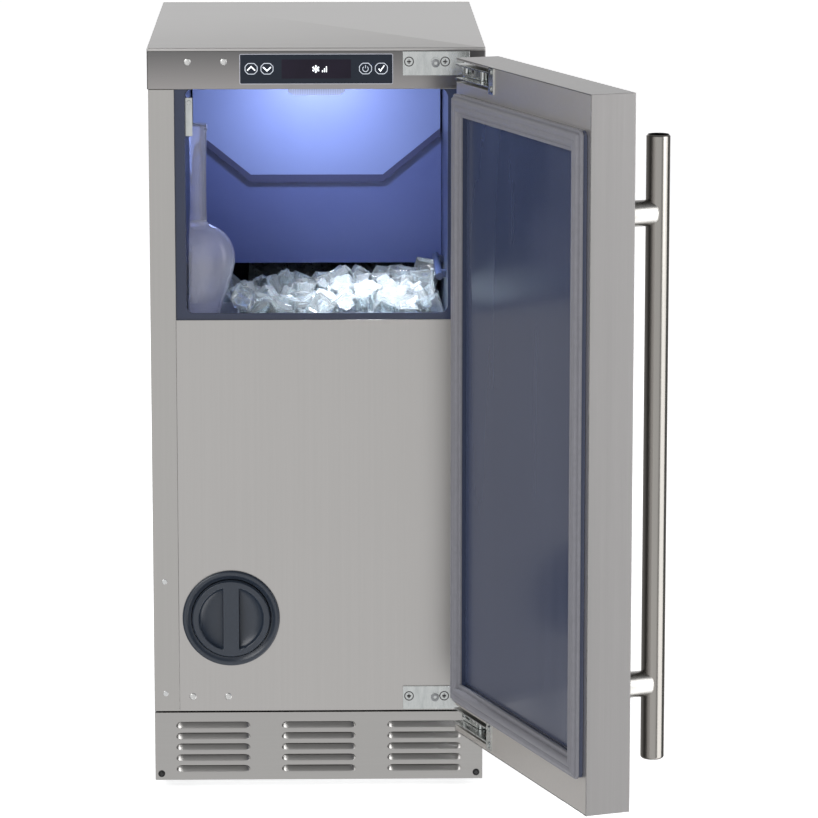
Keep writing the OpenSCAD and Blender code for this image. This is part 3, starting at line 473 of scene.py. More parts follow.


# Painted shade: near-black for the shadow in screw recesses and round screw heads.
painted_socket_shade = Finish("socket_shadow", Roughness=0.6)
painted_socket_shade.drive("Base Color", painted_socket_shade.blend(painted_socket_shade.noise(painted_socket_shade.place(), 800.0), (0.02, 0.02, 0.022), (0.07, 0.07, 0.07)))
stile = [(s * 0.1759, 0, z) for s in (-1, 1) for z in (0.1126, 0.2445)]
make_piece("fold_screws", [turned(dome(0.003, 0.0005, -0.0014), p, (0, -1, 0)) for p in stile], bright, "cabinet", ["stile_screws"])
black_steel = Finish("black_oxide", Metallic=0.6, Roughness=0.42)
black_steel.drive("Base Color", black_steel.blend(black_steel.noise(black_steel.place(), 700.0), (0.008, 0.008, 0.009), (0.03, 0.03, 0.03)))
kick = [(s * 0.1815, 0, 0.0175) for s in (-1, 1)]
make_piece("kick_plate_screws", [turned(dome(0.004, 0.0016, -0.0028), p, (0, -1, 0)) for p in kick], black_steel, "cabinet", ["kick_screws"])
# Painted shade: dark crosses on the kick screws' heads for the shadow in their recesses.
make_piece("kick_screw_cross_shades", sum([painted_cross_shade(0.0042, 0.0016, p, (0, -1, 0), (0, 0, 1)) for p in kick], []), painted_socket_shade, "cabinet", ())

# ---------------------------------------------------------------------------
# Controls: a slip of black-blue glass bonded over a window in the fascia, with printed
# keys, a dark display behind it that lights a plain snowflake and a row of level bars,
# and the circuit board at the back.
# ---------------------------------------------------------------------------
night_glass = Finish("control_glass_ink", Roughness=0.12, Specular_IOR_Level=0.22)
haze = night_glass.noise(night_glass.place((9, 9, 30)), 1.0, 2.0)
night_glass.drive("Base Color", night_glass.blend(haze, (0.007, 0.011, 0.020), (0.016, 0.022, 0.034)))
low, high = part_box("control_glass")
glass_mid = ((low.x + high.x) / 2, 0, (low.z + high.z) / 2)
glass = stacked(high.x - low.x, high.z - low.z, 0.0012, soft_edge(-high.y, -low.y, 0.0002, 0.0004), glass_mid,
                (1, 0, 0), (0, 0, 1), (0, -1, 0))
make_piece("control_glass_slip", [glass], night_glass, "cabinet", ["control_glass"])
rim_white = Finish("glass_rim", Roughness=0.3)
rim_white.drive("Base Color", rim_white.blend(rim_white.noise(rim_white.place(), 500.0), (0.42, 0.43, 0.50), (0.55, 0.56, 0.62)))


def ring_sweep(width, height, radius, profile, spot, across, up, out, step=6):
    """A closed profile of (inset, stand) pairs carried round a rectangle with round corners, as one closed ring."""
    spot, across, up, out = (np.array(v, float) for v in (spot, across, up, out))
    rings = []
    for inset, stand in profile:
        flat = outline(width - 2 * inset, height - 2 * inset, max(radius - inset, 0.0004), step)
        rings.append(spot + flat[:, :1] * across + flat[:, 1:] * up + stand * out)
    return np.concatenate(rings), grid_faces(len(rings), len(rings[0]), True, True)


edge_profile = [(-0.0006, -0.0002), (-0.0006, 0.0007), (-0.0002, 0.0009), (0.0001, 0.0009), (0.0001, 0.0002)]
rim = ring_sweep(high.x - low.x, high.z - low.z, 0.0014, edge_profile, glass_mid, (1, 0, 0), (0, 0, 1), (0, -1, 0))
make_piece("control_glass_rim", [rim], rim_white, "cabinet", ())

screen = Finish("display_black", Roughness=0.16, Specular_IOR_Level=0.15)
screen.drive("Base Color", screen.blend(screen.noise(screen.place(), 40.0), (0.009, 0.007, 0.014), (0.016, 0.012, 0.024)))
low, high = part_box("display_window")
window = stacked(high.x - low.x, high.z - low.z, 0.0006, [(0, 0.0004), (0, 0.00083), (0.0001, 0.00087)],
                 ((low.x + high.x) / 2, 0, (low.z + high.z) / 2), (1, 0, 0), (0, 0, 1), (0, -1, 0))
make_piece("display_screen", [window], screen, "cabinet", ["display_window"])


def stroke(points, width, spot, face=-0.00088, proud=0.00022, loop=False):
    """A printed line: a flat ribbon of one width along (x, z) points, with mitred corners, a hair thick."""
    p = np.array(points, float)
    ahead = np.roll(p, -1, 0) - p
    back = p - np.roll(p, 1, 0)
    if not loop:
        ahead[-1], back[0] = back[-1], ahead[0]
    ahead /= np.linalg.norm(ahead, axis=1)[:, None]
    back /= np.linalg.norm(back, axis=1)[:, None]
    side = np.stack([-(ahead + back)[:, 1], (ahead + back)[:, 0]], -1)
    side /= np.linalg.norm(side, axis=1)[:, None]
    cut = np.clip(np.abs((side * np.stack([-ahead[:, 1], ahead[:, 0]], -1)).sum(1)), 0.35, 1)
    side *= (width / 2 / cut)[:, None]
    corners = []
    for s, y in ((1, face), (1, face - proud), (-1, face - proud), (-1, face)):
        q = p + s * side
        corners.append(np.stack([q[:, 0] + spot[0], np.full(len(q), y), q[:, 1] + spot[1]], -1))
    loft = np.stack(corners, 1)
    faces = grid_faces(len(p), 4, loop, True).tolist()
    if not loop:
        faces += [[0, 1, 2, 3], [4 * len(p) - 1 - i for i in range(4)]]
    return loft.reshape(-1, 3), faces


def key_outline(width, height, cut, round_by=0.0006):
    """A rectangle with cut corners, each corner eased by a short chord."""
    w, h = width / 2, height / 2
    pts = [(w, -h + cut), (w, h - cut), (w - cut, h), (-w + cut, h), (-w, h - cut), (-w, -h + cut), (-w + cut, -h), (w - cut, -h)]
    pts = np.array(pts)
    ahead = np.roll(pts, -1, 0) - pts
    back = np.roll(pts, 1, 0) - pts
    ahead = pts + ahead / np.linalg.norm(ahead, axis=1)[:, None] * round_by
    back = pts + back / np.linalg.norm(back, axis=1)[:, None] * round_by
    return np.stack([back, ahead], 1).reshape(-1, 2)


key_z = 0.8337
outer = key_outline(0.0136, 0.0120, 0.0034)
keys = [stroke(outer, 0.0008, (x, key_z), loop=True) for x in (-0.073, -0.0552, 0.0552, 0.073)]
turn = np.radians(np.linspace(50, -230, 22))
power_ring = np.stack([0.0031 * np.cos(turn), 0.0031 * np.sin(turn) - 0.0004], -1)
keys.append(stroke(power_ring, 0.0008, (0.0552, key_z)))
keys.append(stroke([(0, 0.0004), (0, 0.0038)], 0.0008, (0.0552, key_z)))
# Painted glow: the printed key outlines give off a faint light in their ink's colour.
grey_ink = Finish("key_print_painted_glow", Roughness=0.45, Emission_Strength=0.25)
soft = grey_ink.blend(grey_ink.noise(grey_ink.place(), 400.0), (0.46, 0.50, 0.58), (0.60, 0.64, 0.70))
grey_ink.drive("Base Color", soft)
grey_ink.drive("Emission Color", soft)
make_piece("key_outlines", keys, grey_ink, "cabinet", ["touch_symbols"])
arrow = [(-0.0044, -0.0019), (0, 0.0024), (0.0044, -0.0019)]
marks = [stroke(arrow, 0.0013, (-0.073, key_z)), stroke([(x, -z) for x, z in arrow], 0.0013, (-0.0552, key_z)),
         stroke([(-0.0030, -0.0002), (-0.0010, -0.0028), (0.0032, 0.0034)], 0.0011, (0.073, key_z))]
flake_at, arm = (-0.0005, 0.8333), 0.0043
for k in range(3):
    a = math.radians(60 * k + 30)
    c, s = math.cos(a), math.sin(a)
    marks.append(stroke([(-arm * c, -arm * s), (arm * c, arm * s)], 0.0008, flake_at))
    for sign in (-1, 1):
        tip = np.array([c, s]) * sign * arm * 0.62
        for bend in (50, -50):
            b = a + math.radians(bend) + (math.pi if sign < 0 else 0)
            marks.append(stroke([tip, tip + 0.0014 * np.array([math.cos(b), math.sin(b)])], 0.0006, flake_at))
for i in range(3):
    marks.append(stroke([(0.0075 + 0.0022 * i, -0.0036), (0.0075 + 0.0022 * i, -0.0014 + 0.0022 * i)], 0.0011, flake_at))
lit_ink = Finish("lit_marks", Roughness=0.4, Emission_Strength=1.0)
bright_ink = lit_ink.blend(lit_ink.noise(lit_ink.place(), 300.0), (0.86, 0.92, 1.0), (1.0, 1.0, 1.0))
lit_ink.drive("Base Color", bright_ink)
lit_ink.drive("Emission Color", bright_ink)
make_piece("lit_marks", marks, lit_ink, "cabinet", ())
board = Finish("circuit_lacquer", Roughness=0.3)
tracks = board.node("TexBrick", {}, {"Vector": board.place(turn=(math.pi / 2, 0, 0)), "Scale": 60.0,
                                     "Color1": (0.03, 0.16, 0.07, 1), "Color2": (0.05, 0.22, 0.10, 1), "Mortar": (0.5, 0.4, 0.12, 1)})
board.drive("Base Color", tracks)
dress(board, "control_board")

# ---------------------------------------------------------------------------
# The bin: one vacuum-formed navy liner with a flange round its mouth, foamed into the
# cabinet. A lamp in its ceiling lights it blue-violet; a steel bracket holds the bin sensor.
# ---------------------------------------------------------------------------
liner_navy = Finish("liner_navy", Roughness=0.28, Coat_Weight=0.25)
grain = liner_navy.noise(liner_navy.place(), 900.0, 2.0)
cloud = liner_navy.noise(liner_navy.place(), 9.0, 3.0)
liner_navy.drive("Base Color", liner_navy.blend(cloud, (0.011, 0.018, 0.048), (0.018, 0.028, 0.066)))
liner_navy.drive("Roughness", grain * 0.12 + 0.24)
liner_navy.relief(grain, 0.00005, 0.4, 0.0008)
dress(liner_navy, "bin_liner")

wall_blue = Finish("wall_blue", Roughness=0.42)
cloud = wall_blue.noise(wall_blue.place((1, 1, 1)), 7.0, 2.0)
speck = wall_blue.noise(wall_blue.place(), 700.0, 2.0)
wall_blue.drive("Base Color", wall_blue.blend(cloud, (0.15, 0.20, 0.44), (0.19, 0.25, 0.52)))
wall_blue.drive("Roughness", speck * 0.15 + 0.36)
wall_blue.relief(speck, 0.00004, 0.4, 0.0006)
dress(wall_blue, "splash_curtain")
deep_blue = Finish("wall_blue_shaded", Roughness=0.4)
cloud = deep_blue.noise(deep_blue.place((1, 1, 2)), 6.0, 2.0)
deep_blue.drive("Base Color", deep_blue.blend(cloud, (0.055, 0.080, 0.25), (0.080, 0.112, 0.31)))
deep_blue.relief(deep_blue.noise(deep_blue.place(), 700.0), 0.00004, 0.4, 0.0005)
dress(deep_blue, "bin_baffle")
# The dark strip along the curtain's lower edge is partly a dark seal and partly painted shade for the groove between
# curtain and liner.
curtain_seal_and_groove_shade = Finish("curtain_seal_and_groove_shade", Roughness=0.35)
curtain_seal_and_groove_shade.drive("Base Color", curtain_seal_and_groove_shade.blend(curtain_seal_and_groove_shade.noise(curtain_seal_and_groove_shade.place(), 300.0), (0.020, 0.028, 0.095), (0.032, 0.042, 0.13)))
curtain_seal_and_groove_shade.relief(curtain_seal_and_groove_shade.noise(curtain_seal_and_groove_shade.place(), 800.0), 0.00003, 0.4, 0.0004)
dress(curtain_seal_and_groove_shade, "curtain_edge")
holder_grey = Finish("holder_white", Roughness=0.3)
holder_grey.drive("Base Color", holder_grey.blend(holder_grey.noise(holder_grey.place(), 60.0), (0.30, 0.34, 0.46), (0.40, 0.44, 0.55)))
holder_grey.relief(holder_grey.noise(holder_grey.place(), 800.0), 0.00003, 0.4, 0.0006)
dress(holder_grey, "scoop_holder")

lamp_glow = Finish("lamp_diffuser", Roughness=0.4, Emission_Strength=0.35)
facet = lamp_glow.node("TexWave", {"bands_direction": "X"}, {"Vector": lamp_glow.place(), "Scale": 160.0})
glow = lamp_glow.blend(facet, (0.30, 0.36, 0.60), (0.45, 0.52, 0.80))
lamp_glow.drive("Base Color", glow)
lamp_glow.drive("Emission Color", glow)
dress(lamp_glow, "bin_lamp")
soft_light("bin_lamp_light", (0.0, 0.110, 0.8005), (0.0, 0.250, 0.730), 0.090, 0.020, 0.50, (0.74, 0.80, 1.0))
ice_beam = soft_light("bin_ice_light", (0.045, 0.045, 0.797), (0.060, 0.085, 0.55), 0.100, 0.050, 1.35, (0.90, 0.94, 1.0))
ice_beam.data.spread = math.radians(64)
copper = Finish("bare_copper", Metallic=1.0)
stain = copper.noise(copper.place(), 70.0, 3.0)
copper.drive("Base Color", copper.blend(stain, (0.42, 0.18, 0.09), (0.66, 0.33, 0.19)))
copper.drive("Roughness", stain * 0.3 + 0.18)
copper.relief(stain, 0.00005, 0.3, 0.0004)
dress(copper, "evaporator_coil")
dress(liner_navy, "thermostat_tube")

# ---------------------------------------------------------------------------
# Ice: square clear cubes cut by the grid's hot wires. Each is a block with melted, rounded
# edges and a thinner middle, tumbled into the bin; a rough mass of ice fills the bin below.
# ---------------------------------------------------------------------------
clear_ice = Finish("clear_ice", IOR=1.36, Transmission_Weight=0.9)
crack = clear_ice.noise(clear_ice.place(), 170.0, 4.0, 0.7)
frost = clear_ice.node("ValToRGB", {"stops": [(0.52, (0, 0, 0, 1)), (0.66, (1, 1, 1, 1))]}, {"Fac": crack})
clear_ice.drive("Base Color", clear_ice.blend(frost, (0.88, 0.96, 1.0), (1.0, 1.0, 1.0)))
clear_ice.drive("Roughness", frost * 0.25 + 0.02)
clear_ice.relief(clear_ice.noise(clear_ice.place(), 150.0, 1.0), 0.0004, 0.4)
rng = np.random.default_rng(2718)
low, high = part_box("ice_heap")


def ice_cube(spot, edge, turn):
    """A cube of rounded outlines. Its two square faces sink a little at the middle; a turn matrix tips it over."""
    h = edge[2] / 2
    steps = [(0.0052, -h * 0.80), (0.0030, -h), (0.0012, -h), (0.0002, -h * 0.82), (0.0, -h * 0.5), (0.0, h * 0.5),
             (0.0002, h * 0.82), (0.0012, h), (0.0030, h), (0.0052, h * 0.80)]
    points, faces = stacked(edge[0], edge[1], 0.0020, steps, (0, 0, 0), (1, 0, 0), (0, 1, 0), (0, 0, 1), 2)
    return points @ turn.T + np.array(spot), faces


def tumble(spin, lean, way):
    """A turn about the upright axis, then a lean towards the direction way."""
    c, s = math.cos(spin), math.sin(spin)
    a = np.array([[c, -s, 0], [s, c, 0], [0, 0, 1]])
    k = np.array([math.cos(way), math.sin(way), 0])
    cross = np.array([[0, 0, k[1]], [0, 0, -k[0]], [-k[1], k[0], 0]])
    return (np.eye(3) + math.sin(lean) * cross + (1 - math.cos(lean)) * cross @ cross) @ a


cubes = []
for layer, (base, lean_most) in enumerate(((0.531, 0.5), (0.547, 1.5))):
    for gx in np.arange(-0.130, high.x - 0.010, 0.0232):
        for gy in np.arange(0.030, 0.246, 0.0248):
            right = np.clip((gx + 0.084) / 0.22, 0, 1)
            rise = layer * (0.013 * right + 0.004 * np.clip((gy - 0.03) / 0.2, 0, 1))
            x, y, z = np.array([gx, gy, base + rise]) + rng.uniform(-0.005, 0.005, 3)
            edge = np.array([0.0275, 0.0275, 0.0170]) * rng.uniform(0.88, 1.06)
            turn = tumble(rng.uniform(0, math.pi), rng.uniform(0.1, lean_most), rng.uniform(0, 2 * math.pi))
            if rng.uniform() < 0.14 * layer or (x < low.x + 0.010 and y < 0.114):
                continue
            cubes.append(ice_cube((min(x, high.x - 0.014), max(y, 0.028), min(z, 0.5665)), edge, turn))
for x, y, z, spin, lean, way in ((-0.089, 0.034, 0.5655, 0.3, 0.5, 1.0), (-0.087, 0.062, 0.567, 1.1, 0.7, 2.2), (-0.090, 0.090, 0.567, 0.8, 0.4, 4.0)):
    cubes.append(ice_cube((x + 0.004, y, z), (0.022, 0.022, 0.015), tumble(spin, lean, way)))
make_piece("ice_cubes", cubes, clear_ice, "cabinet", ["ice_heap"], sharp=50)
gx, gy = np.linspace(low.x, high.x, 60), np.linspace(0.012, high.y, 90)
X, Y = np.meshgrid(gx, gy, indexing="ij")
bumps = 0.005 * np.sin(X * 260 + 2 * np.sin(Y * 130)) * np.sin(Y * 240 + 1.5 * np.sin(X * 170))
top = np.stack([X, Y, 0.524 + bumps + 0.02 * np.clip((Y - 0.26) / 0.2, 0, 1)], -1)
under = np.stack([X, Y, np.full_like(X, low.z + 0.02)], -1)
count = X.shape
quads = grid_faces(*count)
border = np.concatenate([np.arange(count[1]), np.arange(1, count[0]) * count[1] + count[1] - 1,
                         (count[0] - 1) * count[1] + np.arange(count[1] - 2, -1, -1), np.arange(count[0] - 2, 0, -1) * count[1]])
wall = np.concatenate([top.reshape(-1, 3)[border], under.reshape(-1, 3)[border]])
white_ice = Finish("packed_ice", Roughness=0.25)
white_ice.drive("Base Color", white_ice.blend(white_ice.noise(white_ice.place(), 90.0, 4.0), (0.20, 0.30, 0.35), (0.80, 0.88, 0.93)))
make_piece("ice_mass", [(top, quads), (under, quads), (wall, grid_faces(2, len(border), loop_columns=True))], white_ice, "cabinet", ())

# ---------------------------------------------------------------------------
# Ice scoop: one frosted clear moulding. Its bowl is a shell that is round on the right and
# open towards the wall, its handle a slim bar with a flared rim; it hangs in the left of the mouth.
# ---------------------------------------------------------------------------
# The faint lilac emission is a painted glow that lifts the scoop's brightness; the frost and mist are its own.
frosted = Finish("frosted_clear_painted_glow", IOR=1.42, Transmission_Weight=0.86, Emission_Color=(0.62, 0.66, 0.95, 1), Emission_Strength=0.03)
mist = frosted.noise(frosted.place((1, 1, 0.35)), 45.0, 3.0)
frosted.drive("Base Color", frosted.blend(mist, (0.74, 0.76, 0.92), (0.96, 0.97, 1.0)))
frosted.drive("Roughness", mist * 0.20 + 0.04)
frosted.relief(frosted.noise(frosted.place((1, 1, 0.5)), 120.0), 0.00008, 0.3)
low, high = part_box("scoop")
sx, sy = -0.1412, 0.060
heights = np.array([0.5105, 0.5120, 0.5150, 0.5220, 0.5350, 0.5500, 0.5700, 0.5900, 0.6050, 0.6150, 0.6280, 0.6370, 0.6430, 0.6470, 0.6500, 0.6530])
reach = np.array([0.0030, 0.0095, 0.0145, 0.0198, 0.0250, 0.0305, 0.0372, 0.0440, 0.0474, 0.0478, 0.0440, 0.0380, 0.0310, 0.0235, 0.0175, 0.0150])
depth = np.array([0.0060, 0.0140, 0.0200, 0.0265, 0.0285, 0.0298, 0.0315, 0.0330, 0.0338, 0.0338, 0.0312, 0.0268, 0.0225, 0.0185, 0.0160, 0.0145])
z = np.linspace(0, 1, 60)
z = heights[0] + (heights[-1] - heights[0]) * (0.5 - 0.5 * np.cos(math.pi * z)) ** 0.9
a, b = np.interp(z, heights, reach), np.interp(z, heights, depth)
a, b = (np.convolve(np.pad(v, 2, "edge"), [0.1, 0.2, 0.4, 0.2, 0.1], "valid") for v in (a, b))
phi = np.radians(np.linspace(-104, 104, 49))


def bowl_wall(inward):
    """The bowl's wall: at each height an ellipse arc of that reach and depth, open on its left side, drawn in by inward."""
    ra, rb = np.maximum(a - inward, 0.0008)[:, None], np.maximum(b - inward, 0.0008)[:, None]
    x = np.maximum(sx + ra * np.cos(phi), sx - 0.0044)
    y = sy + rb * np.sin(phi)
    return np.stack(np.broadcast_arrays(x, y, z[:, None] + (inward * 0.6 if inward else 0)), -1)


shell = np.concatenate([bowl_wall(0.0), bowl_wall(0.0022)[:, ::-1]], 1)
count = shell.shape[1]
faces = grid_faces(len(z), count, loop_columns=True).tolist()
faces += [list(range(count)), [count * (len(z) - 1) + i for i in range(count)][::-1]]
bowl = (shell.reshape(-1, 3), faces)
levels = [(0.6440, 14.5, 19), (0.6500, 18.5, 27), (0.6560, 19.8, 29.6), (0.6600, 19.8, 29.6), (0.6640, 19.0, 27.5), (0.6700, 18.6, 24), (0.6800, 18.6, 22.2),
          (0.7100, 18.8, 22.4), (0.7400, 19.6, 23.6), (0.7520, 20.4, 25), (0.7570, 21.4, 27.4), (0.7590, 22.8, 29.6), (0.7605, 21.6, 28), (0.7620, 22.8, 29.6),
          (0.7634, 21.8, 28.4), (0.7640, 19.5, 26)]
rings = [np.array([-0.1352, sy, h]) + np.concatenate([outline(w / 1000, d / 1000, 0.0060), np.zeros((20, 1))], 1) for h, w, d in levels]
faces = grid_faces(len(rings), 20, loop_columns=True).tolist() + [list(range(20))[::-1], [20 * (len(rings) - 1) + i for i in range(20)]]
grip = (np.concatenate(rings), faces)
spine = stacked(0.0020, 0.0105, 0.0009, [(0.0006, 0.664), (0, 0.668), (0, 0.748), (0.0006, 0.752)], (-0.1452, sy, 0), (1, 0, 0), (0, 1, 0), (0, 0, 1), 2)
make_piece("ice_scoop_shell", [bowl, grip], frosted, "ice_scoop", ["scoop"], sharp=60)

# ---------------------------------------------------------------------------
# Water filter: a bezel clipped into the lower panel and a twist cap with a bar across a dished
# recess, both in slate-blue moulded plastic with a fine spark-eroded grain.
# ---------------------------------------------------------------------------
slate = Finish("slate_moulded", Specular_IOR_Level=0.6)
grain = slate.noise(slate.place(), 1400.0, 2.0)
cloud = slate.noise(slate.place(), 18.0, 2.0)
slate.drive("Base Color", slate.blend(cloud, (0.014, 0.021, 0.034), (0.021, 0.030, 0.046)))
slate.drive("Roughness", grain * 0.12 + 0.26)
slate.relief(grain, 0.00006, 0.5)
fx, fz = -0.100, 0.2017
bezel = [(0.0457, 0.0015), (0.0457, -0.0006), (0.0461, -0.0012), (0.0475, -0.0016), (0.0490, -0.0024), (0.0502, -0.0033), (0.0512, -0.0038),
         (0.0528, -0.0040), (0.0542, -0.0037), (0.0551, -0.0029), (0.0557, -0.0018), (0.0558, -0.0004), (0.0558, 0.0), (0.0500, 0.0), (0.0500, 0.0015)]
points, _ = turned([(r, -y) for r, y in bezel], (fx, 0, fz), (0, -1, 0), 96)
make_piece("filter_bezel_ring", [(points, grid_faces(len(bezel), 96, True, True))], slate, "cabinet", ["filter_bezel"])
cap_r, bar_half, dish_r = 0.0449, 0.0088, 0.0374
line_x = np.concatenate([cap_r * np.sin(np.linspace(-math.pi / 2, math.pi / 2, 91)), [-bar_half - 0.0012, -bar_half, bar_half, bar_half + 0.0012]])
line_x = np.sort(line_x)
line_x = line_x[np.concatenate([[True], np.diff(line_x) > 1e-5])]
across = np.sin(np.linspace(-math.pi / 2, math.pi / 2, 81))
U = np.repeat(line_x[:, None], len(across), 1)
W = np.sqrt(np.maximum(cap_r ** 2 - U ** 2, 0)) * across[None, :]
R = np.hypot(U, W)


def ease(x):
    """A smooth step from 0 to 1 over the unit interval."""
    x = np.clip(x, 0, 1)
    return x * x * (3 - 2 * x)


bar_edge = ease((np.abs(U) - bar_half) / 0.0012)
dish = np.sqrt(np.clip(1 - (R / dish_r) ** 2, 0, 1)) * ease((dish_r + 0.0006 - R) / 0.0022)
face_y = -0.0063 + 0.0104 * bar_edge * dish + 0.0030 * ease((R - 0.0428) / 0.0021) ** 2
front = np.stack([fx + U, face_y, fz + W], -1)
rows, columns = U.shape
border = np.concatenate([np.arange(rows) * columns, np.arange(rows - 2, 0, -1) * columns + columns - 1])
skirt = front.reshape(-1, 3)[border]
tail = skirt.copy()
tail[:, 1] = 0.0138
parts = [(front, grid_faces(rows, columns)), (np.concatenate([skirt, tail]), grid_faces(2, len(border), loop_columns=True)),
         (tail, [list(range(len(border)))])]
make_piece("filter_twist_cap", parts, slate, "water_filter", ["filter_cap"], sharp=45)

# ---------------------------------------------------------------------------
# Hinges: two pairs of zinc-plated steel links between a plate screwed to the cabinet and an
# arm sunk in a pocket of the door. Screw heads are domed, with painted shade for a cross recess
# and a ring of painted shadow round each.
# ---------------------------------------------------------------------------
zinc = Finish("zinc_plated", Metallic=1.0)
grain = zinc.noise(zinc.place((220, 220, 60)), 1.0, 3.0)
zinc.drive("Base Color", zinc.blend(grain, (0.40, 0.42, 0.42), (0.68, 0.70, 0.69)))
zinc.drive("Roughness", grain * 0.2 + 0.14)
zinc.relief(grain, 0.00003, 0.4, 0.0006)
dress(zinc, "hinge_plates", "hinge_links_a", "hinge_links_b", "door_hinge_arms", "sensor_bracket")
low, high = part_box("hinge_plates")
plate_zs = (0.107, 0.8395)
heads, sockets, discs = [], [], []
for z in plate_zs:
    for x in (0.104, 0.1445):
        heads.append(turned(dome(0.0043, 0.0011, -0.0019), (x, 0, z + 0.002), (0, -1, 0)))
        # Painted shade: a dark cross on each head for the shadow in its recess.
        sockets += painted_cross_shade(0.0050, 0.0011, (x, -0.0019, z + 0.002), (0, -1, 0), (0, 0, 1))
    discs.append(turned([(0.0047, 0.0018), (0.0047, 0.0021), (0.0042, 0.0023), (0.0020, 0.0023)], (0.134, 0, z), (0, -1, 0)))
worn = brushed("worn_stud", (0.30, 0.31, 0.32), "z", 0.42, 0.08)
# Painted shadow: a dark ring round the foot of each hinge screw head.
rings = [turned([(0.0044, 0.0016), (0.0056, 0.0016), (0.0056, 0.0021), (0.0052, 0.00225), (0.0044, 0.0021)], (x, 0, z + 0.002), (0, -1, 0))[0]
         for z in plate_zs for x in (0.104, 0.1445)]
make_piece("hinge_screw_shadow_rings", [(ring, grid_faces(5, 24, True, True)) for ring in rings], painted_socket_shade, "cabinet", ())
make_piece("hinge_stud_discs", discs, worn, "cabinet", ())
make_piece("hinge_screw_heads", heads, bright, "cabinet", ["hinge_screws"])
make_piece("hinge_screw_cross_shades", sockets, painted_socket_shade, "cabinet", ())

# ---------------------------------------------------------------------------
# Door: a foam core between a folded stainless skin and a glossy navy inner liner, with a
# soft lilac-grey gasket pushed into the liner's groove all round.
# ---------------------------------------------------------------------------
# Painted shade: the door skin's steel is a darker copy of the cabinet steel.
door_shaded_steel = brushed("door_steel_painted_shade", (0.31, 0.303, 0.30), "z", 0.32, 0.05, 0.0012)
# Painted highlight: the door's returns are a much lighter copy of the same steel.
door_return_lit_steel = brushed("door_return_steel_painted_highlight", (0.80, 0.77, 0.74), "x", 0.46, 0.04, 0.0008)
dress(door_shaded_steel, "door_skin")
dress(door_return_lit_steel, "door_inner_frame")

glossy = Finish("liner_gloss", Roughness=0.16, Coat_Weight=0.35, Coat_Roughness=0.12)
streak = glossy.noise(glossy.place((26, 26, 1.6)), 1.0, 3.0)
cloud = glossy.noise(glossy.place((9, 9, 2.2)), 1.0, 2.0)
mist = streak * 0.5 + cloud * 0.5
glossy.drive("Base Color", glossy.blend(mist, (0.016, 0.024, 0.060), (0.052, 0.066, 0.115)))
glossy.drive("Roughness", mist * 0.30 + 0.10)
glossy.relief(glossy.noise(glossy.place((30, 30, 8)), 1.0), 0.0002, 0.25, 0.0012)
dress(glossy, "door_liner")

swing = math.radians(109.69)
pin_shut, pin_open = np.array([0.144, -0.0266]), np.array([0.1831816, -0.1169948])


def on_door(points):
    """Moves points from where they lie with the door shut to the stored open pose: a turn about the hinge pin."""
    points = np.array(points, float)
    x, y = points[..., 0] - pin_shut[0], points[..., 1] - pin_shut[1]
    c, s = math.cos(swing), math.sin(swing)
    return np.stack([c * x - s * y + pin_open[0], s * x + c * y + pin_open[1], points[..., 2]], -1)


rubber = Finish("gasket_vinyl", Roughness=0.5)
dust = rubber.noise(rubber.place(), 160.0, 3.0)
rubber.drive("Base Color", rubber.blend(dust, (0.15, 0.15, 0.17), (0.20, 0.20, 0.225)))
rubber.drive("Roughness", dust * 0.2 + 0.4)
rubber.relief(rubber.noise(rubber.place(), 900.0), 0.00003, 0.3)
gasket_steps = [(0.0, 5.0), (0.0, 7.2), (0.8, 8.0), (3.2, 8.0), (3.6, 9.5), (4.6, 11.2), (7.0, 11.85), (10.0, 11.6), (11.0, 11.0), (12.0, 11.6),
                (15.0, 11.85), (17.6, 11.2), (18.8, 9.4), (19.2, 8.0), (20.5, 7.7), (21.2, 8.1), (23.2, 8.0), (24.0, 7.2), (24.0, 5.0)]
ring = ring_sweep(0.362, 0.690, 0.006, [(i / 1000, s / 1000) for i, s in gasket_steps], (0, -0.0126, 0.471),
                  (1, 0, 0), (0, 0, 1), (0, 1, 0))
make_piece("door_gasket_ring", [(on_door(ring[0]), ring[1])], rubber, "door", ["door_gasket"], sharp=50)

# ---------------------------------------------------------------------------
# Handle: a brushed stainless tube with chamfered solid ends on two turned posts, each
# screwed through the door skin from inside.
# ---------------------------------------------------------------------------
bar_steel = brushed("handle_brushed_steel", (0.35, 0.335, 0.312), "z", 0.17, 0.05)
hx, hy, hr = -0.144, -0.1084, 0.0127
bar = [(hr - 0.0016, 0.132), (hr - 0.0002, 0.1334), (hr, 0.1340), (hr, 0.1350)]
bar += [(hr, z) for z in np.linspace(0.150, 0.786, 20)]
bar += [(hr, 0.8010), (hr, 0.8020), (hr - 0.0002, 0.8026), (hr - 0.0016, 0.8040)]
points, faces = turned(bar, (hx, hy, 0), (0, 0, 1), 64)
make_piece("handle_bar", [(on_door(points), faces)], bar_steel, "door", ["handle_tube"])
post_steel = brushed("post_steel", (0.52, 0.51, 0.49), "y", 0.28, 0.04)
posts = []
for z in (0.2145, 0.7215):
    r, y0, y1 = 0.0140, -0.0626, hy + 0.003
    stem = [(r - 0.0008, -y0), (r, -y0 + 0.0008), (r, -y1 - 0.0030), (r - 0.0006, -y1 - 0.0014), (r - 0.0022, -y1)]
    points, faces = turned(stem, (hx, 0, z), (0, -1, 0), 48)
    posts.append((on_door(points), faces))
make_piece("handle_post_pair", posts, post_steel, "door", ["handle_posts"])

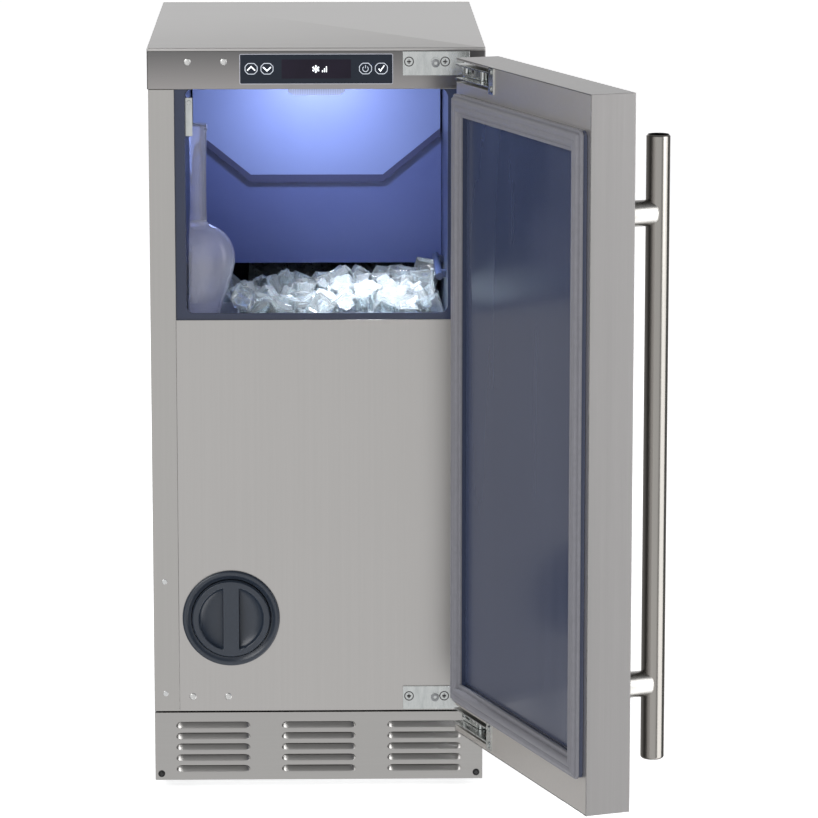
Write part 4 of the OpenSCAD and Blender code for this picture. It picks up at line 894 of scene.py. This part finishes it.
# ---------------------------------------------------------------------------
# Everything inside and behind: galvanised back and base sheets, black levelling feet on zinc
# studs, the ice machinery, the cooling unit, pumps, the water valve and the fan.
# ---------------------------------------------------------------------------
zinc_sheet = Finish("galvanised_sheet", Metallic=1.0)
cells = zinc_sheet.node("TexVoronoi", {"feature": "F1"}, {"Vector": zinc_sheet.place(), "Scale": 95.0}, "Distance")
tint = zinc_sheet.noise(zinc_sheet.place(), 30.0, 3.0)
zinc_sheet.drive("Base Color", zinc_sheet.blend(cells * 0.7 + tint * 0.4, (0.44, 0.45, 0.46), (0.66, 0.67, 0.68)))
zinc_sheet.drive("Roughness", cells * 0.25 + 0.30)
zinc_sheet.relief(tint, 0.00004, 0.4, 0.0008)
dress(zinc_sheet, "back_panel", "base_pan")

foot = Finish("levelling_foot", Roughness=0.5)
upward = foot.node("SeparateXYZ", {}, {"Vector": foot.place()}, 2)
stud = (upward - 0.0085) * 4000.0
stud = stud.math("MINIMUM", 1.0).math("MAXIMUM", 0.0)
dirt = foot.noise(foot.place(), 200.0, 3.0)
foot.drive("Base Color", foot.blend(stud, foot.blend(dirt, (0.012, 0.012, 0.013), (0.03, 0.03, 0.032)), (0.62, 0.62, 0.60)))
foot.drive("Metallic", stud)
foot.drive("Roughness", dirt * 0.3 + 0.25)
foot.relief(dirt, 0.0001, 0.3, 0.0004)
dress(foot, "leg_front_left", "leg_front_right", "leg_rear_left", "leg_rear_right")


def moulded(name, dark, light, rough, size=250.0, edge=0.0006, **more):
    """Moulded or painted matter: a fine grain shades colour and roughness and gives a faint bump."""
    matter = Finish(name, **more)
    speck = matter.noise(matter.place(), size, 3.0)
    haze = matter.noise(matter.place(), size / 22, 2.0)
    matter.drive("Base Color", matter.blend(speck * 0.4 + haze * 0.6, dark, light))
    matter.drive("Roughness", speck * 0.16 + (rough - 0.08))
    matter.relief(speck, 0.00006, 0.4, edge)
    return matter


black_plastic = moulded("black_plastic", (0.010, 0.010, 0.011), (0.028, 0.028, 0.030), 0.4)
white_plastic = moulded("white_plastic", (0.62, 0.62, 0.60), (0.76, 0.76, 0.74), 0.4)
foam = moulded("insulation_foam", (0.60, 0.50, 0.28), (0.78, 0.69, 0.44), 0.85, 900.0, 0.001)
enamel = moulded("compressor_enamel", (0.008, 0.008, 0.009), (0.020, 0.020, 0.022), 0.28, 500.0, 0.001, Coat_Weight=0.3)
cold_plate = moulded("evaporator_plate_metal", (0.58, 0.58, 0.57), (0.78, 0.78, 0.77), 0.26, 120.0, 0.0006, Metallic=1.0)
fins = Finish("condenser_fins", Metallic=0.9)
ridges = fins.node("TexWave", {"bands_direction": "X"}, {"Vector": fins.place(), "Scale": 95.0})
fins.drive("Base Color", fins.blend(ridges, (0.16, 0.12, 0.09), (0.62, 0.60, 0.57)))
fins.drive("Roughness", ridges * 0.2 + 0.3)
fins.relief(ridges, 0.0005, 0.8)
dress(black_plastic, "fan_shroud", "fan_blade", "fan_motor", "circulation_pump", "drain_pump", "cord_gland")
dress(white_plastic, "distribution_tube", "water_trough", "cutter_grid", "filter_housing", "filter_cartridge", "water_valve")
dress(foam, "foam_shell", "door_foam")
dress(enamel, "compressor")
dress(cold_plate, "evaporator_plate")
dress(fins, "condenser")
